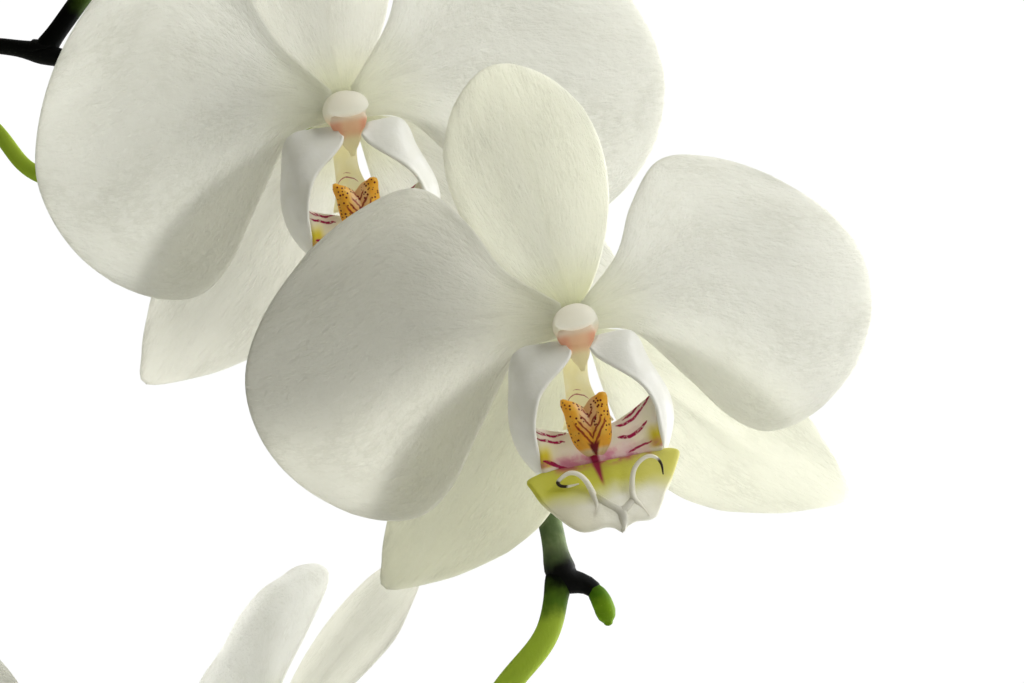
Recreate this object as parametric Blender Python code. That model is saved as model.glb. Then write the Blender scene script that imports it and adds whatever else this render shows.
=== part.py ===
"""A white moth orchid in a plain tapered pot: bark, roots, crown, leaves, one arching stalk and five flowers.

The frame has +Z up and its origin under the middle of the pot. The flowers face -Y.
Lengths in the tables below are millimetres; meshes are made in metres.
"""

import math

import bmesh
import bpy
import numpy as np
from mathutils import Matrix, Vector

MM = 0.001
GAP = 0.35                      # clearance between neighbouring pieces

# ---- pot and medium ----
POT_HEIGHT = 112.0
POT_RIM_RADIUS = 62.0
POT_BASE_RADIUS = 46.0
POT_WALL = 3.4
POT_FLOOR = 6.0
POT_BAND_HEIGHT = 16.0          # thicker band round the mouth
POT_BAND_OUT = 1.8
POT_SIDES = 40
DRAIN_RADIUS = 5.0
DRAIN_CIRCLE = 27.0
DRAIN_COUNT = 4
BARK_BELOW_RIM = 12.0
BARK_CROWN_RISE = 3.0           # the medium is heaped a little in the middle
BARK_TOP = POT_HEIGHT - BARK_BELOW_RIM + BARK_CROWN_RISE

# ---- crown, leaves and roots ----
CROWN_RADIUS = 9.0
CROWN_HEIGHT = 34.0
LEAF_THICKNESS = 2.2
LEAF_RANK_AZIMUTH = -22.0       # degrees; the second rank is opposite
LEAF_BASE_WIDTH = 0.26          # width beside the crown as a share of the greatest width
LEAF_NARROWS = 0.55             # share of the length where the blade starts to narrow
LEAF_TIP_HALF_WIDTH = 1.2
LEAF_CHANNEL = 0.16             # rise of the edges above the midrib as a share of half the width
ROOT_RADIUS = 2.7
ROOT_STAND_OFF = 1.8            # between the crown and the start of a root

# ---- stalk ----
STALK_RADIUS = 2.1
STALK_FOOT_SHARE = 1.30         # radius of the foot as a share of STALK_RADIUS
STALK_STAND_OFF = 1.56          # between the crown and the foot of the stalk
STALK_FOOT_AZIMUTH = math.radians(-109.8)
BUD_LENGTH = 5.8
BUD_RADIUS = 1.9

# ---- flowers ----
TEPAL_THICKNESS = 0.9
SEPAL_CLEARANCE = 0.75          # between the petals and the sepals behind them
SEPAL_LAYER = TEPAL_THICKNESS + SEPAL_CLEARANCE
DORSAL_BEND = 1.2               # how far a sepal's tip bends back beyond the petals
LATERAL_BEND = 1.6
FLARE = 3.0                     # the flower bends back this much at FLARE_REACH from its middle
FLARE_REACH = 50.0
COLUMN_LENGTH = 11.0
COLUMN_CAP_RADIUS = 3.4
COLUMN_NECK_RADIUS = 2.3
LIP_THICKNESS = 0.9
PEDICEL_FLARE = 2.7             # the pedicel's radius where it meets the flower

# The middle of the flower group, measured from the middle of the pot's base; it stands above the medium.
GROUP_ABOVE_MEDIUM = 297.0
GROUP = (165.0, -95.0, BARK_TOP + GROUP_ABOVE_MEDIUM)
STALK_FOOT_REACH = CROWN_RADIUS + STALK_RADIUS * STALK_FOOT_SHARE + STALK_STAND_OFF
STALK_FOOT = (STALK_FOOT_REACH * math.cos(STALK_FOOT_AZIMUTH) - GROUP[0],
              STALK_FOOT_REACH * math.sin(STALK_FOOT_AZIMUTH) - GROUP[1], 3.0 - GROUP_ABOVE_MEDIUM)

# Route of the stalk from the crown to its tip, relative to GROUP, with the radius as a share of STALK_RADIUS.
STALK_ROUTE = [
    (*STALK_FOOT, STALK_FOOT_SHARE), (-172.0, 76.0, -262.0, 1.28), (-172.5, 77.0, -200.0, 1.22),
    (-170.0, 82.0, -140.0, 1.16), (-166.0, 86.0, -80.0, 1.10), (-160.0, 88.0, -30.0, 1.04),
    (-150.0, 88.0, 14.0, 0.92), (-132.0, 87.0, 42.0, 0.80), (-110.0, 85.0, 54.5, 0.70),
    (-88.0, 80.0, 54.0, 0.76), (-66.0, 76.0, 44.0, 0.88), (-42.0, 68.0, 24.0, 0.94),
    (-21.0, 56.0, 6.0, 0.98), (-4.0, 44.0, -12.0, 1.0), (5.4, 38.0, -28.0, 1.0),
    (9.0, 34.0, -41.5, 1.0), (13.0, 33.2, -43.6, 0.80), (14.4, 32.8, -44.5, 0.70),
]
# Places of the joints on the stalk: index into STALK_ROUTE.
STALK_NODES = {"d": 5, "b": 8, "e": 9, "a": 13, "c": 15}
STALK_LOWER_NODES = (2, 3, 4)
NODE_SWELL = 0.22

# Each flower: its middle relative to GROUP, its turn about z, nod about x and roll about y in degrees,
# its size, the sizes of its left and right petals and of its lateral sepals, the lean of its dorsal sepal,
# the radius of its pedicel, and the points that the pedicel passes.
FLOWERS = {
    "a": {"at": (10.5, 0.0, 3.2), "turn": 0.0, "nod": 0.0, "roll": 11.0, "size": 1.0,
          "petals": (1.0, 0.89), "laterals": 1.0, "lean": 7.4, "stem": 1.9,
          "via": [(0.0, 30.0, -8.0), (8.0, 14.0, 1.0)]},
    "b": {"at": (-29.5, 36.0, 41.0), "turn": 0.0, "nod": 0.0, "roll": 10.0, "size": 1.02,
          "petals": (0.955, 0.99), "laterals": 1.08, "lean": 2.0, "stem": 1.55,
          "via": [(-96.5, 79.0, 39.5), (-85.8, 72.0, 30.2), (-58.0, 56.0, 27.0), (-34.0, 48.0, 38.0)]},
    "c": {"at": (-44.2, 22.4, -70.9), "turn": -67.0, "nod": -27.5, "roll": -24.0, "size": 1.0,
          "petals": (1.0, 1.0), "laterals": 1.0, "lean": 0.0, "stem": 2.35,
          "via": [(6.0, 31.0, -51.2), (-0.4, 29.5, -59.4), (-10.0, 30.0, -71.5), (-24.0, 31.0, -79.0)]},
    "d": {"at": (-138.5, 40.0, -66.0), "turn": -8.0, "nod": 6.0, "roll": -4.0, "size": 0.98,
          "petals": (1.0, 1.0), "laterals": 1.0, "lean": 0.0, "stem": 1.9,
          "via": [(-154.0, 76.0, -38.0), (-145.0, 58.0, -54.0)]},
    "e": {"at": (-60.0, 74.0, 107.0), "turn": 4.0, "nod": -4.0, "roll": 5.0, "size": 0.98,
          "petals": (1.0, 1.0), "laterals": 1.0, "lean": 0.0, "stem": 2.0,
          "via": [(-80.5, 80.0, 64.5), (-68.0, 88.0, 84.0), (-61.0, 86.0, 102.0)]},
}

# Outline of the right-hand petal in the flower's own plane, from its claw's lower edge round to the upper.
PETAL_OUTLINE = [
    (1.6, -1.8), (10.3, -3.8), (18.5, -13.9), (25.5, -23.2), (32.4, -27.1), (41.5, -25.0), (50.2, -18.2),
    (55.4, -9.0), (56.0, 1.5), (50.6, 11.5), (40.6, 20.6), (30.0, 26.0), (21.0, 26.8), (14.4, 19.5),
    (10.0, 11.0), (1.8, 3.6),
]
# Half outlines of the sepals as (distance along the midrib, half width).
DORSAL_BASE = (0.0, 2.6)
DORSAL_HALF = [(0.0, 2.2), (6.0, 7.0), (13.5, 11.0), (22.0, 13.1), (30.0, 12.6), (37.0, 9.2), (41.4, 4.4),
               (42.8, 0.0)]
LATERAL_BASE = (2.6, -2.8)
LATERAL_ANGLE = -43.4
LATERAL_LOWER = [(0.0, 1.6), (8.0, 8.0), (18.0, 13.9), (26.0, 15.0), (33.0, 13.4), (39.5, 10.2), (45.0, 6.4),
                 (51.2, 0.0)]
LATERAL_UPPER = [(0.0, 1.6), (8.0, 5.6), (18.0, 9.0), (28.0, 10.0), (36.0, 8.6), (43.0, 5.8), (47.5, 3.4),
                 (51.2, 0.0)]

# Stations along the lip floor from its claw to its tip: (y, z, half width, forward lift of the edges)
LIP_CLAW_FRONT = -(TEPAL_THICKNESS / 2 + GAP + LIP_THICKNESS)
LIP_FLOOR = [
    (LIP_CLAW_FRONT, -4.6, 2.0, 0.3), (-3.6, -10.0, 2.1, 0.4), (-5.6, -15.0, 4.6, 1.0),
    (-8.0, -19.0, 8.4, 3.0), (-11.0, -22.2, 10.8, 3.4), (-13.0, -24.2, 12.4, 2.4),
    (-16.0, -27.6, 10.8, 1.6), (-19.4, -31.0, 7.0, 1.0), (-22.4, -33.8, 1.4, 0.2),
]
# Edges of the right-hand side lobe, from its foot on the floor to its tip beside the column.
LOBE_OUTER = [(9.6, -10.4, -23.4), (13.7, -9.2, -18.6), (14.3, -7.4, -13.0), (12.9, -6.2, -7.6),
              (9.8, -6.4, -4.2), (5.4, -8.2, -3.6)]
LOBE_INNER = [(8.8, -12.6, -23.2), (10.3, -14.0, -18.2), (9.6, -14.4, -13.0), (7.5, -13.8, -9.0),
              (5.2, -12.6, -6.8), (4.6, -10.6, -5.6)]
CALLUS_PROFILE = [(0.0, -9.0), (2.2, -8.2), (3.5, -5.0), (3.7, 0.0), (3.6, 2.6), (2.4, 4.4), (0.0, 4.8)]
CALLUS_AT = (0.0, -9.4, -17.6)
CALLUS_DEPTH = 0.62

# Each leaf: side of the two ranks, rise above the medium, length, width, start and end slope in degrees, and
# extra azimuth in degrees.
LEAVES = {
    "leaf_1": (0, 7.0, 205.0, 74.0, 27.0, -40.0, -10.0),
    "leaf_2": (1, 9.0, 212.0, 76.0, 31.0, -40.0, 8.0),
    "leaf_3": (0, 15.0, 188.0, 70.0, 46.0, -26.0, 9.0),
    "leaf_4": (1, 17.0, 178.0, 68.0, 50.0, -24.0, -9.0),
    "leaf_5": (0, 22.0, 132.0, 56.0, 66.0, 4.0, -4.0),
    "leaf_6": (1, 24.0, 96.0, 44.0, 76.0, 34.0, 4.0),
}
# Routes of the aerial roots: start azimuth in degrees, sideways sweep in degrees, and the points passed as
# (share of the way from the crown to the rim, height above the medium).
ROOTS = {
    "aerial_root_1": (38.0, 26.0, [(0.0, 4.6), (0.175, 6.6), (0.423, 5.2), (0.649, 4.6), (0.794, 4.2)]),
    "aerial_root_2": (104.0, 8.0, [(0.0, 5.0), (0.217, 10.0), (0.546, 15.0), (0.876, 19.0), (1.124, 16.0),
                                   (1.268, 2.0), (1.309, -16.0)]),
    "aerial_root_3": (212.0, -10.0, [(0.0, 5.0), (0.258, 12.0), (0.629, 18.0), (0.959, 20.0), (1.175, 13.0),
                                     (1.268, -4.0), (1.278, -26.0), (1.227, -44.0)]),
    "aerial_root_4": (296.0, -30.0, [(0.0, 4.6), (0.175, 6.2), (0.381, 5.0), (0.608, 4.8), (0.753, 4.4)]),
}

LEAF_GRID = (13, 5)
PETAL_GRID = (6, 5)
SEPAL_GRID = (6, 5)
LOBE_GRID = (7, 3)
TUBE_SIDES = 8


# ---------------------------------------------------------------- helpers

def smooth_path(points, count):
    """Points on a smooth curve through the given ones, evenly spaced along its length."""
    pts = np.asarray(points, dtype=float)
    ends = np.vstack([2 * pts[0] - pts[1], pts, 2 * pts[-1] - pts[-2]])
    dense = []
    for i in range(len(pts) - 1):
        p0, p1, p2, p3 = ends[i:i + 4]
        for t in np.linspace(0.0, 1.0, 16, endpoint=False):
            dense.append(0.5 * (2 * p1 + (p2 - p0) * t + (2 * p0 - 5 * p1 + 4 * p2 - p3) * t ** 2
                                + (3 * p1 - p0 - 3 * p2 + p3) * t ** 3))
    dense.append(pts[-1])
    dense = np.array(dense)
    steps = np.linalg.norm(np.diff(dense[:, :3], axis=0), axis=1)
    along = np.concatenate([[0.0], np.cumsum(steps)])
    wanted = np.linspace(0.0, along[-1], count)
    return np.stack([np.interp(wanted, along, dense[:, k]) for k in range(dense.shape[1])], axis=1)


def material(name, colour, roughness, metallic=0.0):
    """A plain Principled material."""
    mat = bpy.data.materials.get(name)
    if mat is None:
        mat = bpy.data.materials.new(name)
        mat.use_nodes = True
        shader = mat.node_tree.nodes["Principled BSDF"]
        shader.inputs["Base Color"].default_value = (*colour, 1.0)
        shader.inputs["Roughness"].default_value = roughness
        shader.inputs["Metallic"].default_value = metallic
    return mat


def mesh_from(name, verts, faces):
    """A mesh in metres from millimetre points, with its faces turned outwards."""
    mesh = bpy.data.meshes.new(name)
    mesh.from_pydata([tuple(v * MM for v in p) for p in verts], [], faces)
    bm = bmesh.new()
    bm.from_mesh(mesh)
    bmesh.ops.recalc_face_normals(bm, faces=bm.faces)
    bm.to_mesh(mesh)
    bm.free()
    mesh.shade_smooth()
    mesh.set_sharp_from_angle(angle=math.radians(50.0))
    return mesh


def add_object(name, mesh, mat, matrix=None):
    """Place a mesh in the scene as a named piece."""
    obj = bpy.data.objects.new(name, mesh)
    bpy.context.scene.collection.objects.link(obj)
    mesh.materials.clear()
    mesh.materials.append(mat)
    if matrix is not None:
        obj.matrix_world = matrix
    return obj


def shell_mesh(name, front, back):
    """A closed shell between two grids of points that have the same rows and columns."""
    rows, cols = front.shape[:2]
    verts = [tuple(p) for p in front.reshape(-1, 3)] + [tuple(p) for p in back.reshape(-1, 3)]
    half = rows * cols
    faces = []
    for r in range(rows - 1):
        for c in range(cols - 1):
            a, b = r * cols + c, r * cols + c + 1
            d, e = a + cols, b + cols
            falling = (r < (rows - 1) / 2) == (c < (cols - 1) / 2)
            pair = [(a, b, e), (a, e, d)] if falling else [(a, b, d), (b, e, d)]
            for tri in pair:
                faces.append(tri)
                faces.append(tuple(half + k for k in reversed(tri)))
    rim = list(range(cols))
    rim += [r * cols + cols - 1 for r in range(1, rows)]
    rim += [(rows - 1) * cols + c for c in range(cols - 2, -1, -1)]
    rim += [r * cols for r in range(rows - 2, 0, -1)]
    for k, a in enumerate(rim):
        b = rim[(k + 1) % len(rim)]
        faces.append((a, half + a, half + b, b))
    return mesh_from(name, verts, faces)


def turned_mesh(name, profile, sides, squash=1.0):
    """A solid turned about Z from (radius, height) points; a radius of 0 closes it."""
    verts = []
    rings = []
    for radius, height in profile:
        if radius == 0.0:
            rings.append([len(verts)])
            verts.append((0.0, 0.0, height))
            continue
        ring = []
        for k in range(sides):
            angle = 2 * math.pi * k / sides
            ring.append(len(verts))
            verts.append((radius * math.cos(angle), squash * radius * math.sin(angle), height))
        rings.append(ring)
    faces = []
    for low, high in zip(rings, rings[1:]):
        for k in range(sides):
            n = (k + 1) % sides
            if len(low) == 1:
                faces.append((low[0], high[n], high[k]))
            elif len(high) == 1:
                faces.append((low[k], low[n], high[0]))
            else:
                faces.append((low[k], low[n], high[n], high[k]))
    return mesh_from(name, verts, faces)


def tube_mesh(name, path, radii, sides=TUBE_SIDES):
    """A tube with flat ends along a path, with its own radius at each point."""
    path = np.asarray(path, dtype=float)
    tangents = np.gradient(path, axis=0)
    tangents /= np.linalg.norm(tangents, axis=1)[:, None]
    side = np.cross(tangents[0], (0.0, 0.0, 1.0))
    if np.linalg.norm(side) < 0.2:
        side = np.cross(tangents[0], (1.0, 0.0, 0.0))
    verts = []
    for point, tangent, radius in zip(path, tangents, radii):
        side = side - tangent * np.dot(side, tangent)
        side /= np.linalg.norm(side)
        up = np.cross(tangent, side)
        for k in range(sides):
            angle = 2 * math.pi * k / sides
            verts.append(tuple(point + radius * (math.cos(angle) * side + math.sin(angle) * up)))
    faces = []
    for i in range(len(path) - 1):
        for k in range(sides):
            n = (k + 1) % sides
            a, b = i * sides, (i + 1) * sides
            faces.append((a + k, a + n, b + n, b + k))
    faces.append(tuple(range(sides)))
    faces.append(tuple((len(path) - 1) * sides + k for k in range(sides)))
    return mesh_from(name, verts, faces)


def patch(outline_path, columns, rows, shoulders=(0.33, 0.67)):
    """Fill an outline with a grid: columns run across, rows run from the claw to the outer rim.

    The outline starts at one corner of the claw and ends at the other. The two shoulders are the shares of
    its length where the side edges end and the rim begins.
    """
    count = 240
    path = smooth_path(outline_path, count + 1)
    first, second = (round(s * count) for s in shoulders)

    def part(start, stop, number):
        index = np.linspace(start, stop, number)
        return np.stack([np.interp(index, np.arange(count + 1), path[:, k]) for k in range(2)], axis=1)

    low = part(0, first, rows + 1)
    rim = part(first, second, columns + 1)
    high = part(count, second, rows + 1)
    base = np.linspace(path[0], path[-1], columns + 1)
    grid = np.zeros((rows + 1, columns + 1, 2))
    for r in range(rows + 1):
        v = r / rows
        for c in range(columns + 1):
            u = c / columns
            sides = (1 - u) * low[r] + u * high[r]
            ends = (1 - v) * base[c] + v * rim[c]
            corners = ((1 - u) * (1 - v) * base[0] + u * (1 - v) * base[-1]
                       + (1 - u) * v * rim[0] + u * v * rim[-1])
            grid[r, c] = sides + ends - corners
    return grid


# ---------------------------------------------------------------- flower pieces

def flare(x, z):
    """How far the flower bends back at a place in its plane."""
    return FLARE * (x * x + z * z) / FLARE_REACH ** 2


def tepal_mesh(name, grid, layer, extra_bend=0.0):
    """A closed thin piece over a grid in the flower's plane; the outer end may bend back further."""
    rows, cols = grid.shape[:2]
    middle = np.zeros((rows, cols, 3))
    for r in range(rows):
        for c in range(cols):
            x, z = grid[r, c]
            back = extra_bend * (r / (rows - 1)) ** 2
            middle[r, c] = (x, flare(x, z) + layer + back, z)
    half = np.array([0.0, TEPAL_THICKNESS / 2, 0.0])
    return shell_mesh(name, middle - half, middle + half)


def turned_about(points, centre, degrees):
    """Plane points turned anticlockwise about a centre."""
    a = math.radians(degrees)
    rel = np.asarray(points, dtype=float) - centre
    turned = np.stack([rel[:, 0] * math.cos(a) - rel[:, 1] * math.sin(a),
                       rel[:, 0] * math.sin(a) + rel[:, 1] * math.cos(a)], axis=1)
    return turned + centre


def petal_outline(side, size):
    """Outline of one petal; side is +1 for the right-hand one."""
    return [(side * x * size, z * size) for x, z in PETAL_OUTLINE]


def dorsal_outline(lean):
    """Outline of the dorsal sepal, leaning to the left by some degrees."""
    right = [(DORSAL_BASE[0] + w, DORSAL_BASE[1] + a) for a, w in DORSAL_HALF]
    left = [(DORSAL_BASE[0] - w, DORSAL_BASE[1] + a) for a, w in reversed(DORSAL_HALF[:-1])]
    return turned_about(right + left, np.array(DORSAL_BASE), lean)


def lateral_outline(side, size):
    """Outline of one lateral sepal; side is +1 for the right-hand one."""
    a = math.radians(LATERAL_ANGLE)
    along = np.array([math.cos(a), math.sin(a)])
    across = np.array([math.sin(a), -math.cos(a)])
    base = np.array(LATERAL_BASE)
    lower = [base + size * (s * along + w * across) for s, w in LATERAL_LOWER]
    upper = [base + size * (s * along - w * across) for s, w in reversed(LATERAL_UPPER[:-1])]
    return [(side * p[0], p[1]) for p in lower + upper]


def lip_floor_mesh():
    """The claw and the midlobe of the lip, one channelled plate."""
    stations = smooth_path(LIP_FLOOR, 10)
    across = np.linspace(-1.0, 1.0, 5)
    front = np.zeros((len(stations), len(across), 3))
    for r, (y, z, half_width, lift) in enumerate(stations):
        for c, u in enumerate(across):
            front[r, c] = (u * half_width, y - lift * u * u, z)
    back = front + np.array([0.0, LIP_THICKNESS * 0.8, -LIP_THICKNESS * 0.6])
    return shell_mesh("lip_floor", front, back)


def side_lobe_mesh(side):
    """One upright blade of the lip; side is +1 for the right-hand one."""
    rows, cols = LOBE_GRID
    outer = smooth_path(LOBE_OUTER, rows)
    inner = smooth_path(LOBE_INNER, rows)
    half = LIP_THICKNESS / 2
    middle = np.zeros((rows, cols, 3))
    normal = np.zeros((rows, cols, 3))
    for r in range(rows):
        run = outer[min(r + 1, rows - 1)] - outer[max(r - 1, 0)]
        flat = np.cross(run, inner[r] - outer[r])
        flat /= np.linalg.norm(flat)
        for c in range(cols):
            middle[r, c] = outer[r] + (inner[r] - outer[r]) * c / (cols - 1)
            normal[r, c] = flat
    mirror = np.array([side, 1.0, 1.0])
    return shell_mesh("side_lobe", (middle - half * normal) * mirror, (middle + half * normal) * mirror)


def callus_mesh():
    """The raised crest in the throat of the lip."""
    mesh = turned_mesh("callus", CALLUS_PROFILE, 8, CALLUS_DEPTH)
    mesh.transform(Matrix.Translation(Vector(CALLUS_AT) * MM))
    return mesh


def joined_mesh(name, meshes):
    """One mesh from overlapping closed meshes, by Boolean union."""
    objects = []
    for k, mesh in enumerate(meshes):
        obj = bpy.data.objects.new(f"{name}_piece_{k}", mesh)
        bpy.context.scene.collection.objects.link(obj)
        objects.append(obj)
    for other in objects[1:]:
        cut = objects[0].modifiers.new("join", "BOOLEAN")
        cut.operation = "UNION"
        cut.object = other
    graph = bpy.context.evaluated_depsgraph_get()
    result = bpy.data.meshes.new_from_object(objects[0].evaluated_get(graph), depsgraph=graph)
    result.name = name
    for obj in objects:
        bpy.data.objects.remove(obj, do_unlink=True)
    return result


def lip_mesh():
    """The whole lip: floor, two side lobes and callus, grown as one piece."""
    return joined_mesh("lip", [lip_floor_mesh(), side_lobe_mesh(1), side_lobe_mesh(-1), callus_mesh()])


def column_mesh():
    """The column: a neck that ends in the rounded anther cap, pointing forward."""
    neck, cap, length = COLUMN_NECK_RADIUS, COLUMN_CAP_RADIUS, COLUMN_LENGTH
    start = TEPAL_THICKNESS / 2 + GAP
    profile = [(0.0, start), (neck * 1.35, start), (neck * 1.1, start + 2.0), (neck, length * 0.45),
               (cap * 0.96, length * 0.68), (cap, length * 0.8), (cap * 0.72, length * 0.95), (0.0, length)]
    mesh = turned_mesh("column", profile, 10)
    mesh.transform(Matrix.Rotation(math.radians(90.0), 4, "X"))
    return mesh


FINISH = {
    "tepal": ("orchid_white", (0.86, 0.86, 0.80), 0.55),
    "lip": ("lip_cream", (0.86, 0.80, 0.52), 0.5),
    "column": ("column_white", (0.88, 0.84, 0.76), 0.45),
    "pedicel": ("pedicel_green", (0.34, 0.44, 0.10), 0.45),
    "stalk": ("stalk_green", (0.07, 0.11, 0.03), 0.5),
    "bud": ("bud_green", (0.16, 0.28, 0.03), 0.45),
    "leaf": ("leaf_green", (0.05, 0.14, 0.03), 0.35),
    "root": ("root_silver", (0.42, 0.45, 0.36), 0.8),
    "crown": ("crown_green", (0.12, 0.20, 0.05), 0.5),
    "bark": ("bark_brown", (0.16, 0.09, 0.05), 0.9),
    "pot": ("pot_glaze", (0.80, 0.79, 0.75), 0.3),
}


def finish(kind):
    """The material of one kind of piece."""
    name, colour, roughness = FINISH[kind]
    return material(name, colour, roughness)


def group_point(point):
    """A point given relative to the flower group, in the part's frame."""
    return tuple(p + g for p, g in zip(point, GROUP))


def flower_matrix(spec):
    """Where a flower stands and how it is turned, without its size."""
    turn = Matrix.Rotation(math.radians(spec["turn"]), 4, "Z")
    nod = Matrix.Rotation(math.radians(spec["nod"]), 4, "X")
    roll = Matrix.Rotation(math.radians(-spec["roll"]), 4, "Y")
    return Matrix.Translation(Vector(group_point(spec["at"])) * MM) @ turn @ nod @ roll


def build_flower(letter, spec, lip):
    """The seven pieces of one flower's head."""
    size = spec["size"]
    left, right = spec["petals"]
    meshes = {
        "petal_left": tepal_mesh("petal", patch(petal_outline(-1, left), *PETAL_GRID), 0.0),
        "petal_right": tepal_mesh("petal", patch(petal_outline(1, right), *PETAL_GRID), 0.0),
        "dorsal_sepal": tepal_mesh(
            "dorsal", patch(dorsal_outline(spec["lean"]), *SEPAL_GRID), SEPAL_LAYER, DORSAL_BEND),
        "lateral_sepal_left": tepal_mesh(
            "lateral", patch(lateral_outline(-1, spec["laterals"]), *SEPAL_GRID), SEPAL_LAYER, LATERAL_BEND),
        "lateral_sepal_right": tepal_mesh(
            "lateral", patch(lateral_outline(1, spec["laterals"]), *SEPAL_GRID), SEPAL_LAYER, LATERAL_BEND),
        "lip": lip.copy(),
        "column": column_mesh(),
    }
    matrix = flower_matrix(spec)
    for part, mesh in meshes.items():
        mesh.transform(Matrix.Scale(size, 4))
        kind = part if part in FINISH else "tepal"
        add_object(f"flower_{letter}_{part}", mesh, finish(kind), matrix)


def build_pedicel(letter, spec, joint):
    """The stem of one flower, from the side of the stalk to the back of the flower."""
    matrix = flower_matrix(spec)
    size = spec["size"]
    behind = TEPAL_THICKNESS / 2 + SEPAL_LAYER + GAP
    end = [c / MM for c in matrix @ Vector((0.0, behind * size * MM, 0.0))]
    approach = [c / MM for c in matrix @ Vector((0.0, (behind + 4.0) * size * MM, 0.0))]
    via = [group_point(p) for p in spec["via"]]
    node = np.array(group_point(joint[:3]))
    first = np.array(via[0])
    direction = (first - node) / np.linalg.norm(first - node)
    radius = spec["stem"]
    start = node + direction * (joint[3] * STALK_RADIUS * (1 + NODE_SWELL) + GAP + radius * 0.5)
    path = smooth_path([start, *via, approach, end], 15)
    share = np.linspace(0.0, 1.0, len(path))
    radii = radius * (0.9 + 0.14 * share) + (PEDICEL_FLARE - radius) * np.clip(share * 4 - 3, 0, 1)
    add_object(f"flower_{letter}_pedicel", tube_mesh("pedicel", path, radii), finish("pedicel"))


# ---------------------------------------------------------------- stalk, leaves, roots, pot

def build_stalk():
    """The flower stalk from the crown to its tip, thickened at its joints, and the bud on the tip."""
    route = [(*group_point(p[:3]), p[3]) for p in STALK_ROUTE]
    path = smooth_path(route, 76)
    radii = path[:, 3] * STALK_RADIUS
    for index in [*STALK_NODES.values(), *STALK_LOWER_NODES]:
        distance = np.linalg.norm(path[:, :3] - np.array(route[index][:3]), axis=1)
        radii = radii * (1 + NODE_SWELL * np.exp(-(distance / 3.5) ** 2))
    add_object("flower_stalk", tube_mesh("flower_stalk", path[:, :3], radii), finish("stalk"))

    tip = path[-1, :3]
    direction = path[-1, :3] - path[-2, :3]
    direction /= np.linalg.norm(direction)
    hang = np.array([0.26, 0.0, -0.97])
    shape = [(0.0, 0.7), (0.2, 0.95), (0.5, 1.0), (0.8, 0.72), (1.0, 0.3)]
    start = tip + direction * (GAP + BUD_RADIUS * 0.4)
    line = [start + direction * (BUD_LENGTH * 0.12 * s) + hang * (BUD_LENGTH * s ** 1.3) for s, _ in shape]
    bud = tube_mesh("terminal_bud", line, [BUD_RADIUS * w for _, w in shape])
    add_object("terminal_bud", bud, finish("bud"))


def build_leaf(name, side, rise, length, width, slope_start, slope_end, extra):
    """A strap leaf: an arching channelled blade that starts beside the crown."""
    azimuth = math.radians(LEAF_RANK_AZIMUTH + 180.0 * side + extra)
    outward = np.array([math.cos(azimuth), math.sin(azimuth), 0.0])
    sideways = np.array([-math.sin(azimuth), math.cos(azimuth), 0.0])
    rows, cols = LEAF_GRID
    point = outward * (CROWN_RADIUS + GAP + LEAF_THICKNESS) + np.array([0.0, 0.0, BARK_TOP + GAP + rise])
    front = np.zeros((rows, cols, 3))
    back = np.zeros((rows, cols, 3))
    for r in range(rows):
        t = r / (rows - 1)
        slope = math.radians(slope_start + (slope_end - slope_start) * t)
        along = outward * math.cos(slope) + np.array([0.0, 0.0, math.sin(slope)])
        normal = np.cross(along, sideways)
        if r:
            point = point + along * (length / (rows - 1))
        widening = min(1.0, LEAF_BASE_WIDTH + 1.5 * t ** 0.8)
        narrowing = max(0.0, t - LEAF_NARROWS) / (1.01 - LEAF_NARROWS)
        spread = max(width / 2 * widening * (1 - narrowing ** 2) ** 0.6, LEAF_TIP_HALF_WIDTH)
        thick = LEAF_THICKNESS * (1.25 - 0.5 * t)
        for c in range(cols):
            u = 2 * c / (cols - 1) - 1
            middle = point + sideways * (u * spread) + normal * (LEAF_CHANNEL * spread * abs(u) ** 1.5)
            half = normal * (thick / 2 * (1 - 0.45 * abs(u)))
            front[r, c] = middle + half
            back[r, c] = middle - half
    add_object(name, shell_mesh(name, front, back), finish("leaf"))


def build_root(name, azimuth, sweep, route):
    """An aerial root from the crown out over the medium; it swings sideways by the sweep."""
    start = CROWN_RADIUS + ROOT_RADIUS + ROOT_STAND_OFF
    points = []
    for k, (share, height) in enumerate(route):
        angle = math.radians(azimuth + sweep * k / (len(route) - 1))
        radius = start + (POT_RIM_RADIUS - start) * share
        points.append((radius * math.cos(angle), radius * math.sin(angle), BARK_TOP + height))
    path = smooth_path(points, 12)
    radii = ROOT_RADIUS * np.linspace(1.05, 0.82, len(path))
    radii[-1] *= 0.5
    add_object(name, tube_mesh(name, path, radii), finish("root"))


def pot_radius(height):
    """Outer radius of the pot's tapered wall."""
    return POT_BASE_RADIUS + (POT_RIM_RADIUS - POT_BASE_RADIUS) * height / POT_HEIGHT


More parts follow.
